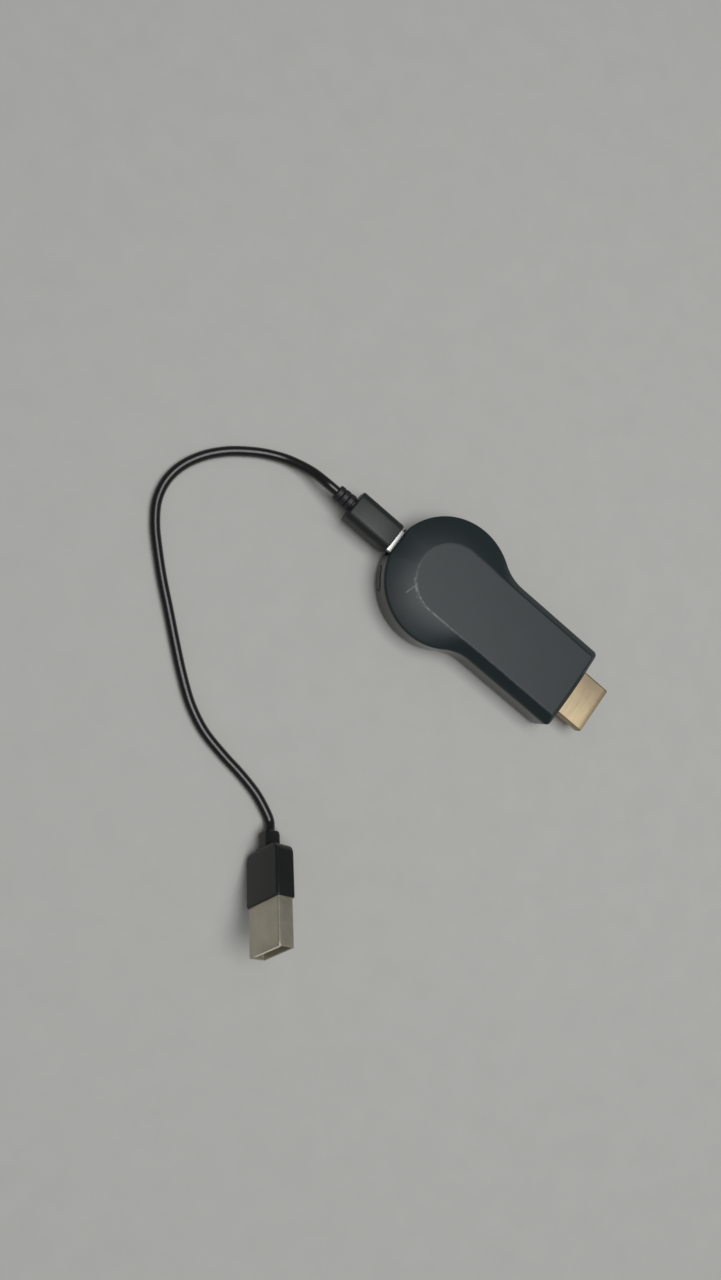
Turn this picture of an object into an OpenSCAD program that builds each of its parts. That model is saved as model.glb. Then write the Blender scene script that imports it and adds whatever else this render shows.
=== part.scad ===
// Streaming media stick with its short power cable, lying on its flat base.
// Millimetres. +X runs from the round head to the video plug, +Z is up.
// The origin is the middle of the stick's footprint (the cable not counted), at the base.

/* [Housing] */
// Radius of the round head
head_r = 17.5; // [16.5:0.5:19.5]
// Width of the straight stem
stem_w = 24.6; // [24:0.2:26]
// Length of the housing without the video plug
body_l = 62.7; // [60:0.1:68]
// Height of the housing
body_h = 12; // [11.8:0.2:13.6]
// Height of the seam between the two covers
seam_z = 8.8; // [8.6:0.1:9.2]
// Radius of the hollow curve from the head to the stem
neck_r = 13; // [11:0.5:15]
// Radius of the two corners at the plug end
corner_r = 1.2; // [0.8:0.2:2]
// How far the plug end bows out in its middle
end_bow = 0.3; // [0:0.1:0.5]
// Thickness of the side walls
wall = 1.3; // [1.2:0.1:1.4]

/* [Upper cover] */
// Half the width of the raised flat top
plateau_r = 9.85; // [9:0.1:10.2]
// Thickness of the roof under the flat top
roof = 1.2; // [1:0.1:1.4]
// Height of the upright band above the seam
rim_band = 0.6; // [0.5:0.1:0.8]
// Setback of the flat top from the plug end
end_slope = 1.8; // [1.8:0.1:3]
// Depth of the flat on the head, where the power plug goes in
port_flat = 0.5; // [0.3:0.1:0.7]
// Height of the swell of the sloping shoulders, measured on the longest one
shoulder_swell = 0.25; // [0:0.05:0.4]
// Depth of the lip that drops inside the lower cover
lip_h = 0.9; // [0.6:0.1:1]
// Thickness of that lip
lip_t = 0.7; // [0.5:0.1:0.8]

/* [Lower cover] */
// Thickness of the floor
floor_t = 1.2; // [1:0.1:1.3]
// Radius of the rounded bottom edge
foot_r = 2.6; // [2:0.1:2.6]

/* [Main board] */
// Height of the underside of the board above the base
board_z = 4.95; // [4.8:0.05:5.1]
// Thickness of the board
board_t = 0.8; // [0.6:0.1:1]
// Setback of the board's edge from the outside of the housing
board_inset = 2.7; // [2.6:0.1:3]

/* [Shield and chips] */
// Length of the shield can
can_l = 22; // [21:0.5:23]
// Width of the shield can
can_w = 17; // [15:0.5:17]
// Height of the shield can
can_h = 1.9; // [1.8:0.1:2]
// Thickness of the sheet of the shield can
can_t = 0.2; // [0.15:0.05:0.3]
// Height of the main processor
processor_h = 1.2; // [1:0.1:1.3]
// Height of the working memory chip
memory_h = 1; // [0.8:0.1:1.2]
// Thickness of the pad on top of the can
pad_t = 0.5; // [0.3:0.1:0.6]
// Thickness of the heat spreader plate
spreader_t = 0.8; // [0.6:0.1:1]

/* [Video plug] */
// Width of the plug's metal shell
video_w = 13.9; // [13.5:0.1:14]
// Height of the plug's metal shell
video_h = 4.45; // [4.3:0.05:4.5]
// Thickness of the plug's metal
video_t = 0.35; // [0.3:0.05:0.4]
// Length that stands out of the housing
video_out = 9.3; // [9:0.1:12]
// Length that sits inside the housing
video_in = 8; // [7:0.5:9]

/* [Power socket] */
// Width of the socket's opening
socket_w = 6.9; // [6.9:0.05:7]
// Height of the socket's opening
socket_h = 1.85; // [1.85:0.01:1.9]
// Thickness of the socket's metal
socket_t = 0.3; // [0.2:0.05:0.35]
// Length of the socket
socket_l = 6.2; // [6:0.1:7]
// Height of the socket's middle above the top of the board
socket_rise = 0.35; // [0.3:0.05:0.4]

/* [Reset button] */
// Length of the button around the head
button_l = 6.6; // [5.6:0.2:7]
// Height of the button
button_h = 2.8; // [2.4:0.1:2.8]
// How far the button can be pressed
button_travel = 0.4; // [0.3:0.05:0.4]
// Gap around the button in its opening
button_gap = 0.15; // [0.12:0.01:0.2]
// Direction of the button from the socket, around the head
button_a = 34; // [32:1:40]

/* [Status light] */
// Radius of the light pipe
light_r = 0.6; // [0.5:0.05:0.7]
// Distance of the light sideways from the middle of the socket
light_y = 7.7; // [7.4:0.1:9]

/* [Small power plug] */
// Width of the plug's metal shell
plug_w = 6.85; // [6.8:0.01:6.86]
// Height of the plug's metal shell
plug_h = 1.8; // [1.75:0.01:1.81]
// Bare metal between the housing and the grip
plug_bare = 1.2; // [0.9:0.1:2]
// Length of the plug's grip
grip_l = 13.5; // [12:0.5:16]
// Width of the plug's grip
grip_w = 8.5; // [8:0.1:9]
// Height of the plug's grip
grip_h = 7; // [6:0.1:7.2]
// Length of the ribbed sleeve behind the grip
sleeve_l = 5.4; // [5:0.2:8]
// Radius of the ribbed sleeve
sleeve_r = 2.3; // [2.2:0.1:3]

/* [Cord] */
// Diameter of the cord
cord_d = 2.6; // [2.4:0.1:2.8]

/* [Large power plug] */
// Width of the plug's metal shell
host_w = 12; // [12:0.1:12.1]
// Height of the plug's metal shell
host_h = 4.5; // [4.4:0.1:4.6]
// Length of bare metal
host_l = 11.8; // [11:0.1:13]
// Length of the plug's grip
host_grip_l = 13.5; // [12:0.5:16]
// Width of the plug's grip
host_grip_w = 12.8; // [12.7:0.1:14]
// Height of the plug's grip
host_grip_h = 5.5; // [5.3:0.1:7]
// Length of the collar behind the grip
collar_l = 4.5; // [3:0.5:6]

/* [Hidden] */
$fn = 48;

// Overrun of every cut past the surface that it opens
over = 0.5;
// Clearance between small fixed pieces that slip together
slip = 0.1;

// Places along the stick
total_l = body_l + video_out;
head_x = head_r - total_l / 2;
end_x = body_l - total_l / 2;
rim_x = -total_l / 2;

// Corners of the outline
groove = 0.15;
edge_round = 0.35;
neck_dx = sqrt(pow(head_r + neck_r, 2) - pow(stem_w / 2 + neck_r, 2));
neck_a = atan2(stem_w / 2 + neck_r, neck_dx);
neck_x = head_x + neck_dx;
steps_head = 24;
steps_neck = 7;
steps_stem = 3;
steps_corner = 4;
steps_end = 3;
band_shares = [0, 0.5, 1];
slope_shares = [0.33, 0.67];
brow_shares = [0, 0.5, 1];
foot_step_a = 22.5;
fine = 96;

// Left half of the keyhole outline, drawn in by "inset", from the head round to the plug end
function rim_half(inset) =
    let (r = head_r - inset,
        side = stem_w / 2 - inset,
        turn = max(corner_r - inset, groove),
        square_x = end_x - inset - turn)
    concat(
        [for (i = [0 : steps_head - 1])
            let (a = 180 - i * (180 - neck_a) / steps_head)
            [head_x + r * cos(a), r * sin(a)]],
        [for (i = [0 : steps_neck - 1])
            let (a = 180 + neck_a + i * (90 - neck_a) / steps_neck)
            [neck_x + (neck_r + inset) * cos(a), stem_w / 2 + neck_r + (neck_r + inset) * sin(a)]],
        [for (i = [0 : steps_stem - 1])
            [neck_x + i * (square_x - neck_x) / steps_stem, side]],
        [for (i = [0 : steps_corner - 1])
            let (a = 90 - i * 90 / steps_corner)
            [square_x + turn * cos(a), side - turn + turn * sin(a)]],
        [for (i = [0 : steps_end])
            let (y = (side - turn) * (1 - i / steps_end))
            [end_x - inset + end_bow * (1 - pow(y / (side - turn), 2)), y]]);

// Left half of the flat top's outline, point for point above the keyhole's
function top_half(inset) =
    let (r = plateau_r - inset,
        turn = edge_round,
        last_x = end_x - end_slope - inset,
        square_x = last_x - turn)
    concat(
        [for (i = [0 : steps_head - 1])
            let (a = 180 - i * (180 - neck_a) / steps_head)
            a > 90 ? [head_x + r * cos(a), r * sin(a)] : [head_x + head_r * cos(a), r]],
        [for (i = [0 : steps_neck - 1])
            let (a = 180 + neck_a + i * (90 - neck_a) / steps_neck)
            [neck_x + neck_r * cos(a), r]],
        [for (i = [0 : steps_stem - 1])
            [neck_x + i * (square_x - neck_x) / steps_stem, r]],
        [for (i = [0 : steps_corner - 1])
            let (a = 90 - i * 90 / steps_corner)
            [square_x + turn * cos(a), r - turn + turn * sin(a)]],
        [for (i = [0 : steps_end])
            let (y = (r - turn) * (1 - i / steps_end))
            [last_x + end_bow * (1 - pow(y / (r - turn), 2)), y]]);

// A whole outline from its left half
function whole(half) =
    concat(half, [for (i = [len(half) - 2 : -1 : 1]) [half[i].x, -half[i].y]]);

// An outline at one height
function ring(points, z) = [for (p = points) [p.x, p.y, z]];

// Shoulder of the upper cover: upright band, eased corner, swelling slope, eased edge of the top
band_z = seam_z + rim_band;
longest_shoulder = head_r - plateau_r;
function shoulder_z(run, length) =
    let (share = run / length)
    band_z + (body_h - band_z) * share
        + shoulder_swell * length / longest_shoulder * 4 * share * (1 - share);
function shoulder_point(rim, top, run) =
    let (length = norm(top - rim))
    [for (i = [0, 1]) rim[i] + (top[i] - rim[i]) * run / length];
function shoulder_ring(rims, tops, share) =
    [for (i = [0 : len(rims) - 1])
        let (length = norm(tops[i] - rims[i]),
            run = edge_round + (length - 2 * edge_round) * share,
            p = shoulder_point(rims[i], tops[i], run))
        [p.x, p.y, shoulder_z(run, length)]];
// Eased corner at the band: "share" goes from the band (0) to the slope (1)
function band_ring(rims, tops, share) =
    [for (i = [0 : len(rims) - 1])
        let (length = norm(tops[i] - rims[i]),
            run = edge_round * pow(share, 2),
            p = shoulder_point(rims[i], tops[i], run),
            low = band_z - edge_round * pow(1 - share, 2),
            high = (shoulder_z(edge_round, length) - band_z) * pow(share, 2))
        [p.x, p.y, low + high]];
// Eased corner at the flat top: "share" goes from the slope (0) to the top (1)
function brow_ring(rims, tops, share) =
    [for (i = [0 : len(rims) - 1])
        let (length = norm(tops[i] - rims[i]),
            run = length - edge_round * pow(1 - share, 2) + edge_round * pow(share, 2),
            fall = body_h - shoulder_z(length - edge_round, length),
            p = shoulder_point(rims[i], tops[i], run))
        [p.x, p.y, body_h - fall * pow(1 - share, 2)]];

// Closed skin through rings that have the same number of points; the ends are capped
module skin(rings) {
    n = len(rings[0]);
    last = len(rings) - 1;
    points = [for (r = rings) for (p = r) p];
    sides = [for (k = [0 : last - 1]) for (i = [0 : n - 1])
        let (j = (i + 1) % n)
        for (face = [[k * n + i, k * n + j, (k + 1) * n + j],
            [k * n + i, (k + 1) * n + j, (k + 1) * n + i]]) face];
    caps = [[for (i = [n - 1 : -1 : 0]) i], [for (i = [0 : n - 1]) last * n + i]];
    polyhedron(points = points, faces = concat(sides, caps));
}

// Section of a plug or socket: a bar with two sloped lower corners, drawn in by "inset"
function bar_section(w, h, cut_w, cut_h, inset) =
    let (slant = sqrt(cut_w * cut_w + cut_h * cut_h),
        x0 = w / 2 - inset,
        x1 = w / 2 - cut_w - inset * (slant - cut_w) / cut_h,
        z0 = cut_h - h / 2 + inset * (slant - cut_h) / cut_w,
        z1 = inset - h / 2)
    [[-x0, h / 2 - inset], [-x0, z0], [-x1, z1], [x1, z1], [x0, z0], [x0, h / 2 - inset]];

// A section drawn in Y and Z, pushed along X from "from_x" for "length"
module along_x(from_x, length) {
    translate([from_x, 0, 0]) rotate([90, 0, 90]) linear_extrude(length) children();
}

// A block given by its lowest corner and its highest corner
module block(low, high) {
    translate(low) cube(high - low);
}

// Bar with two round ends, pushed along X: "long" in Y, "tall" in Z
module round_bar(from_x, length, long, tall) {
    block([from_x, tall / 2 - long / 2, -tall / 2], [from_x + length, long / 2 - tall / 2, tall / 2]);
    for (side = [-1, 1]) translate([from_x, side * (long - tall) / 2, 0]) rotate([0, 90, 0])
        cylinder(h = length, r = tall / 2);
}

// Frame at the middle of the head, turned so that +X points out of the rim at angle "a"
// from the socket; a negative angle is on the -Y side
module around_head(a, z) {
    translate([head_x, 0, z]) rotate([0, 0, 180 - a]) children();
}

// Upright strip of a tube of inner radius "r", from angle 0 to angle "a", less than 90
module wedge_of_tube(r, t, h, a) {
    reach = 2 * (r + t);
    intersection() {
        difference() {
            cylinder(h = h, r = r + t, $fn = fine);
            translate([0, 0, -over]) cylinder(h = h + 2 * over, r = r, $fn = fine);
        }
        translate([0, 0, -over]) linear_extrude(h + 2 * over)
            polygon([[0, 0], [reach, 0], [reach * cos(a), reach * sin(a)]]);
    }
}

// Heights of what is stacked on the board
board_top = board_z + board_t;
can_top = board_top + can_h;
pad_top = can_top + pad_t;
spreader_top = pad_top + spreader_t;
ceiling_z = body_h - roof;

// Posts that hold the board, in the head and beside the video plug
head_post_r = 1.3;
head_post_in = 5.3;
head_post_out = head_r - head_post_in;
head_post_a = 110;
stem_post_r = 1.1;
stem_post_in = 4.2;
stem_post_y = stem_w / 2 - stem_post_in;
post_pin_r = 0.6;
head_post_x = head_x + head_post_out * cos(head_post_a);
head_post_y = head_post_out * sin(head_post_a);

// Video plug
video_tip_x = end_x + video_out;
video_back_x = end_x - video_in;
video_z = board_z + board_t / 2;
video_cut_w = 1.75;
video_cut_h = 1.6;
video_fit = 0.15;
video_contact_w = 0.45;
video_contact_t = 0.15;
video_contact_pitch = 1;
video_mouth_w = 11.6;
video_mouth_h = 2.1;
video_mouth_l = 8.2;
video_recess = 0.8;
video_tail_l = 1.6;
latch_in = 5.6;
latch_y = 2.8;
latch_l = 1.9;
latch_w = 2.4;
stem_post_back = 2.6;
stem_post_x = video_back_x - stem_post_back;

// Board edge at the video plug
board_end_x = video_back_x - slip;

// Places on the board
rib_t = 1.2;
can_back = 15.6;
can_x = video_back_x - can_back;
can_pad_inset = 1.6;
spreader_more = 4;
spreader_less = 0.6;
spreader_l = can_l + spreader_more;
spreader_w = can_w - spreader_less;
chip_space = 1;
processor_w = 11;
processor_x = can_x + can_l / 2 - can_t - chip_space - processor_w / 2;
memory_l = can_l - 2 * can_t - processor_w - 3 * chip_space;
memory_x = can_x - can_l / 2 + can_t + chip_space + memory_l / 2;
chip_gap = 0.4;
radio_w = 9;
radio_h = 1.6;
radio_x = head_post_x + head_post_r + chip_gap + radio_w / 2;
flash_l = 12;
flash_w = 14;
flash_h = 1;
coil_w = 3;
coil_h = 1.3;
coil_base_share = 0.8;
coil_core_share = 0.4;
coil_pitch = 3.8;
coil_x = radio_x - radio_w / 2 - chip_gap - coil_w / 2;
cap_l = 1;
cap_w = 0.5;
cap_h = 0.5;
cap_pitch = 1.6;
crystal_l = 3.2;
crystal_w = 2.5;
crystal_h = 0.8;
antenna_t = 0.3;
antenna_h = 2.2;
antenna_lift = 0.8;
antenna_inset = 1;
antenna_r = head_r - board_inset - antenna_inset;
antenna_a = 44;
antenna_leg_a = 5;
antenna_at = 76;

// Clip tabs of the upper cover, on both sides of the stem
tab_w = 3;
tab_t = 0.8;
tab_drop = 3.2;
nub_out = 0.4;
nub_h = 0.8;
pocket_depth = 0.55;
tab_xs = [neck_x + tab_w + tab_t, video_back_x + 1.5 * tab_w];
tab_y = stem_w / 2 - wall - slip;

// Power socket
socket_z = board_top + socket_rise;
socket_front_x = rim_x + wall / 2;
socket_back_x = socket_front_x + socket_l;
socket_base_l = 1.2;
socket_cut_w = 0.9;
socket_cut_h = 0.7;
socket_out_w = socket_w + 2 * socket_t;
socket_out_h = socket_h + 2 * socket_t;
tongue_w = 4.4;
tongue_low = 0.1;
tongue_high = 0.55;
tongue_back = 0.6;
small_contact_w = 0.37;
small_contact_t = 0.06;
small_contact_pitch = 0.65;
wing_w = 1;
wing_l = 1.8;
port_gap = 0.3;
port_side_gap = 0.7;

// Reset button and the switch behind it
switch_h = 1.6;
switch_l = 3.4;
switch_w = 4.6;
button_z = board_z - switch_h / 2;
inner_r = head_r - wall;
flange_t = 0.65;
flange_more = 0.8;
flange_r = inner_r - slip;
flange_in_r = flange_r - flange_t;
flange_less = 0.4;
flange_h = button_h - flange_less;
button_proud = 0.15;
switch_inset = 0.2;
switch_front_r = head_r - board_inset - switch_inset;
plunger_w = 1.5;
plunger_h = 0.8;
plunger_seat = 1;
plunger_gap = 0.05;

// Status light
led_w = 1.6;
led_l = 0.8;
led_h = 0.7;
light_z = board_top + led_h / 2;
light_board_gap = 0.15;
light_in_r = head_r - board_inset + light_board_gap;
light_flange_r = 0.95;
light_flange_t = 0.6;
led_gap = 0.4;
light_a = asin(light_y / head_r);

// Small power plug
plug_wall = 0.25;
plug_stop_gap = 0.2;
plug_insert = socket_l - socket_base_l - plug_stop_gap;
plug_tip_x = socket_front_x + plug_insert;
grip_x = rim_x + port_flat - plug_bare;
grip_back_x = grip_x - grip_l;
sleeve_back_x = grip_back_x - sleeve_l;
plug_root_l = 4;
plug_cut_w = 0.88;
plug_cut_h = 0.68;
plug_board_w = 5;
grip_corner_r = 2.2;
grip_taper = 0.3;
sleeve_rib = 0.3;
sleeve_taper = 0.1;
sleeve_neck_l = 0.5;
sleeve_beads = 3;
bead_share = 0.15;

// Route of the cord from the small plug to the large one: X, Y and the height of its underside
cord_route = [[-63, 0.4, 3], [-67, 0, 1.6], [-71, -1, 0.5], [-75.5, -3.2, 0.1], [-79.5, -6, 0],
    [-83.5, -9.6, 0], [-87, -14.2, 0], [-89.4, -19.6, 0], [-90, -25.2, 0], [-88.6, -30.6, 0],
    [-85.4, -35.4, 0], [-81.4, -39.6, 0], [-75.6, -45, 0], [-69.4, -50.2, 0], [-62.8, -55.8, 0],
    [-56.4, -61, 0], [-50.4, -65.2, 0], [-44, -68.2, 0], [-37, -69.9, 0], [-30, -71.1, 0],
    [-24.2, -72.5, 0], [-20, -74.2, 0]];
cord_steps = 2;
cord_sides = 8;
cord_lead = 3;

// Large power plug: turned about its length by "host_roll", its tip up by "host_pitch"
host_roll = 66;
host_pitch = 30;
host_yaw = -57;
host_x = -7;
host_y = -91.2;
host_wall = 0.3;
host_root_l = 6;
host_seat_l = 4.5;
host_bevel = 0.5;
host_corner_r = 2.5;
host_tongue_h = 1.84;
host_tongue_back = 0.6;
host_contact_w = 1;
host_contact_t = 0.2;
host_contact_pitch = 2.4;
host_contact_l = 7;
host_window = 2.2;
host_window_tip = 5.2;
host_window_y = 2.6;
collar_w = 4.6;
collar_h = 4.4;
collar_bevel = 0.9;

// Depth below the plug's axis of a point of its grip, given along, across and through the plug
function host_depth(p) =
    -(p.x * sin(host_pitch) + cos(host_pitch) * (p.y * sin(host_roll) + p.z * cos(host_roll)));
// The grip's lowest point lies on its rounded back corner, where its long edges are bevelled
host_z = max([for (a = [0 : 2 : 90])
    let (across = host_grip_w / 2 - host_corner_r * (1 - sin(a)),
        through = host_grip_h / 2 - max(0, across - (host_grip_w / 2 - host_bevel)))
    host_depth([host_corner_r * (1 - cos(a)) - host_grip_l, -across, -through])]);

// What is cut off the head's rim to make the flat round the power socket
module port_face() {
    block([rim_x - over, -head_r, -over], [rim_x + port_flat, head_r, body_h]);
}

module upper_cover() {
    color([0.21, 0.23, 0.24]) {
        rims = whole(rim_half(0));
        tops = whole(top_half(0));
        lip_out = wall + slip;
        lip_in = lip_out + lip_t;
        union() {
            difference() {
                skin(concat(
                    [ring(whole(top_half(roof / 2)), ceiling_z),
                        ring(whole(rim_half(lip_in)), seam_z),
                        ring(whole(rim_half(lip_in)), seam_z - lip_h),
                        ring(whole(rim_half(lip_out)), seam_z - lip_h),
                        ring(whole(rim_half(lip_out)), seam_z),
                        ring(whole(rim_half(groove)), seam_z),
                        ring(rims, seam_z + groove)],
                    [for (share = band_shares) band_ring(rims, tops, share)],
                    [for (share = slope_shares) shoulder_ring(rims, tops, share)],
                    [for (share = brow_shares) brow_ring(rims, tops, share)]));
                port_face();
            }
            // Posts that press the board onto the lower cover
            for (side = [-1, 1])
                translate([head_post_x, side * head_post_y, board_top])
                    cylinder(h = band_z + rim_band - board_top, r = head_post_r);
            // Ribs that hold the heat spreader down
            for (x = [can_x - can_l / 4, can_x + can_l / 4])
                block([x - rib_t / 2, -spreader_w / 2, spreader_top],
                    [x + rib_t / 2, spreader_w / 2, ceiling_z + roof / 2]);
            // Rib above the video plug
            block([video_back_x + rib_t, -video_w / 3, video_z + video_h / 2],
                [video_back_x + 2 * rib_t, video_w / 3, ceiling_z + roof / 2]);
            // Clip tabs with their nubs
            for (x = tab_xs) for (side = [0, 1]) mirror([0, side, 0]) {
                block([x - tab_w / 2, tab_y - tab_t, seam_z - tab_drop],
                    [x + tab_w / 2, tab_y, seam_z + rim_band]);
                block([x - tab_w / 2, tab_y - tab_t, seam_z - tab_drop],
                    [x + tab_w / 2, tab_y + nub_out, seam_z - tab_drop + nub_h]);
            }
        }
    }
}

module lower_cover() {
    color([0.1, 0.1, 0.11]) {
        inner_foot_r = foot_r - wall;
        difference() {
            union() {
                difference() {
                    skin(concat(
                        [for (a = [0 : foot_step_a : 90])
                            ring(whole(rim_half(foot_r * (1 - sin(a)))), foot_r * (1 - cos(a)))],
                        [ring(whole(rim_half(0)), seam_z - groove),
                            ring(whole(rim_half(groove)), seam_z),
                            ring(whole(rim_half(wall)), seam_z)],
                        [for (a = [90 : -2 * foot_step_a : 0])
                            ring(whole(rim_half(wall + inner_foot_r * (1 - sin(a)))),
                                floor_t + inner_foot_r * (1 - cos(a)))]));
                    // Pockets for the nubs of the clip tabs
                    for (x = tab_xs) for (side = [0, 1]) mirror([0, side, 0])
                        block([x - tab_w / 2 - slip, tab_y - over, seam_z - tab_drop - slip],
                            [x + tab_w / 2 + slip, tab_y + slip + pocket_depth,
                                seam_z - tab_drop + nub_h + slip]);
                }
                // Posts in the head, with the pins that place the board
                for (side = [-1, 1]) translate([head_post_x, side * head_post_y, floor_t / 2]) {
                    cylinder(h = board_z - floor_t / 2, r = head_post_r);
                    cylinder(h = board_top - floor_t / 2, r = post_pin_r);
                }
                // Posts beside the video plug
                for (side = [-1, 1]) translate([stem_post_x, side * stem_post_y, floor_t / 2])
                    cylinder(h = board_z - floor_t / 2, r = stem_post_r);
                // Cradles under the video plug and under the power socket
                block([video_back_x + rib_t, -video_w / 3, floor_t / 2],
                    [video_back_x + 2 * rib_t, video_w / 3, video_z - video_h / 2]);
                block([socket_back_x - 2 * rib_t, -socket_w / 3, floor_t / 2],
                    [socket_back_x - rib_t, socket_w / 3, socket_z - socket_out_h / 2]);
            }
            // Slot for the video plug
            translate([0, 0, video_z]) along_x(end_x - 2 * wall, 2 * wall + over + end_bow)
                polygon(bar_section(video_w, video_h, video_cut_w, video_cut_h, -video_fit));
            // Flat on the head, and the opening of the power socket in it
            port_face();
            translate([0, 0, socket_z])
                round_bar(rim_x - over, 2 * wall + over,
                    socket_out_w + 2 * port_side_gap, socket_out_h + 2 * port_gap);
            // Opening of the reset button
            around_head(-button_a, button_z)
                round_bar(inner_r - over, wall + 2 * over,
                    button_l + 2 * button_gap, button_h + 2 * button_gap);
            // Hole of the light pipe
            around_head(light_a, light_z) translate([inner_r - over, 0, 0])
                rotate([0, 90, 0]) cylinder(h = wall + 2 * over, r = light_r);
        }
    }
}

module main_board() {
    color([0.09, 0.3, 0.18]) difference() {
        intersection() {
            translate([0, 0, board_z]) linear_extrude(board_t) polygon(whole(rim_half(board_inset)));
            block([rim_x, -head_r, 0], [board_end_x, head_r, body_h]);
        }
        // Notch for the power socket
        block([rim_x, -socket_out_w / 2 - slip, board_z - over],
            [socket_back_x + slip, socket_out_w / 2 + slip, board_top + over]);
        // Holes for the placing pins
        for (side = [-1, 1]) translate([head_post_x, side * head_post_y, board_z - over])
            cylinder(h = board_t + 2 * over, r = post_pin_r + slip);
    }
}

module shield_can() {
    color([0.72, 0.73, 0.74]) difference() {
        block([can_x - can_l / 2, -can_w / 2, board_top], [can_x + can_l / 2, can_w / 2, can_top]);
        block([can_x - can_l / 2 + can_t, can_t - can_w / 2, board_top - over],
            [can_x + can_l / 2 - can_t, can_w / 2 - can_t, can_top - can_t]);
    }
}

module processor() {
    color([0.13, 0.13, 0.14]) block([processor_x - processor_w / 2, -processor_w / 2, board_top],
        [processor_x + processor_w / 2, processor_w / 2, board_top + processor_h]);
}

module memory_chip() {
    color([0.12, 0.12, 0.13]) block([memory_x - memory_l / 2, -processor_w / 2, board_top],
        [memory_x + memory_l / 2, processor_w / 2, board_top + memory_h]);
}

module chip_pads() {
    color([0.55, 0.66, 0.8]) {
        inset = chip_gap;
        block([processor_x - processor_w / 2 + inset, inset - processor_w / 2, board_top + processor_h],
            [processor_x + processor_w / 2 - inset, processor_w / 2 - inset, can_top - can_t]);
        block([memory_x - memory_l / 2 + inset, inset - processor_w / 2, board_top + memory_h],
            [memory_x + memory_l / 2 - inset, processor_w / 2 - inset, can_top - can_t]);
    }
}

module can_pad() {
    half_l = can_l / 2 - can_pad_inset;
    half_w = can_w / 2 - can_pad_inset;
    color([0.6, 0.7, 0.82])
        block([can_x - half_l, -half_w, can_top], [can_x + half_l, half_w, pad_top]);
}

module heat_spreader() {
    color([0.75, 0.76, 0.77]) block([can_x - spreader_l / 2, -spreader_w / 2, pad_top],
        [can_x + spreader_l / 2, spreader_w / 2, spreader_top]);
}

module flash_chip() {
    color([0.14, 0.14, 0.15]) block([can_x - flash_l / 2, -flash_w / 2, board_z - flash_h],
        [can_x + flash_l / 2, flash_w / 2, board_z]);
}

module radio_module() {
    color([0.68, 0.69, 0.7]) block([radio_x - radio_w / 2, -radio_w / 2, board_top],
        [radio_x + radio_w / 2, radio_w / 2, board_top + radio_h]);
}

module radio_antenna() {
    color([0.8, 0.66, 0.4]) translate([head_x, 0, board_top])
        rotate([0, 0, antenna_at - antenna_a / 2]) difference() {
            wedge_of_tube(antenna_r, antenna_t, antenna_h, antenna_a);
            // Open under the strip, between its two legs
            rotate([0, 0, antenna_leg_a]) translate([0, 0, -over])
                wedge_of_tube(antenna_r - over, antenna_t + 2 * over, antenna_lift + over,
                    antenna_a - 2 * antenna_leg_a);
        }
}

module crystal() {
    color([0.82, 0.82, 0.8])
        translate([radio_x - crystal_l / 2, -radio_w / 2 - chip_gap - crystal_w, board_top])
            cube([crystal_l, crystal_w, crystal_h]);
}

module power_coils() {
    color([0.3, 0.3, 0.31]) for (i = [-1 : 1]) translate([coil_x, i * coil_pitch, board_top]) {
        translate([-coil_w / 2, -coil_w / 2, 0]) cube([coil_w, coil_w, coil_h * coil_base_share]);
        cylinder(h = coil_h, r = coil_w * coil_core_share);
    }
}

module capacitors() {
    color([0.66, 0.58, 0.45]) {
        // Two rows beside the radio module and one row beside the can
        for (i = [0 : 5]) for (row = [0, 1])
            translate([radio_x - radio_w / 2 + i * cap_pitch,
                radio_w / 2 + cap_w + row * cap_pitch, board_top])
                cube([cap_l, cap_w, cap_h]);
        for (i = [0 : 4])
            translate([can_x - can_l / 2 - cap_pitch, (i - 2.5) * cap_pitch, board_top])
                cube([cap_w, cap_l, cap_h]);
    }
}

module video_shell() {
    color([0.66, 0.6, 0.46]) translate([0, 0, video_z]) difference() {
        along_x(video_back_x, video_in + video_out)
            polygon(bar_section(video_w, video_h, video_cut_w, video_cut_h, 0));
        along_x(video_back_x - over, video_in + video_out + 2 * over)
            polygon(bar_section(video_w, video_h, video_cut_w, video_cut_h, video_t));
        // Two latch windows in the underside
        for (side = [-1, 1]) translate([video_tip_x - latch_in, side * latch_y, -video_h / 2])
            cube([latch_l, latch_w, 3 * video_t], center = true);
    }
}

// One contact on the upper side of the video plug's mouth, with its tail on the board
module video_contact() {
    back_x = video_back_x + rib_t;
    high_z = video_mouth_h / 2;
    low_z = board_t / 2;
    block([back_x, -video_contact_w / 2, high_z],
        [video_tip_x - 2 * video_recess, video_contact_w / 2, high_z + video_contact_t]);
    block([back_x - video_contact_t, -video_contact_w / 2, low_z],
        [back_x, video_contact_w / 2, high_z + video_contact_t]);
    block([video_back_x - video_tail_l, -video_contact_w / 2, low_z],
        [back_x, video_contact_w / 2, low_z + video_contact_t]);
}

module video_contact_set() {
    translate([0, 0, video_z]) {
        for (i = [0 : 9]) translate([0, (i - 4.5) * video_contact_pitch, 0]) video_contact();
        for (i = [0 : 8]) translate([0, (i - 4) * video_contact_pitch, 0]) mirror([0, 0, 1]) video_contact();
    }
}

module video_contacts() {
    color([0.83, 0.68, 0.32]) video_contact_set();
}

module video_insulator() {
    color([0.08, 0.08, 0.08]) difference() {
        translate([0, 0, video_z]) difference() {
            along_x(video_back_x, video_in + video_out - video_recess)
                polygon(bar_section(video_w, video_h, video_cut_w, video_cut_h, video_t));
            block([video_tip_x - video_recess - video_mouth_l, -video_mouth_w / 2, -video_mouth_h / 2],
                [video_tip_x + over, video_mouth_w / 2, video_mouth_h / 2]);
        }
        video_contact_set();
    }
}

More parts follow.
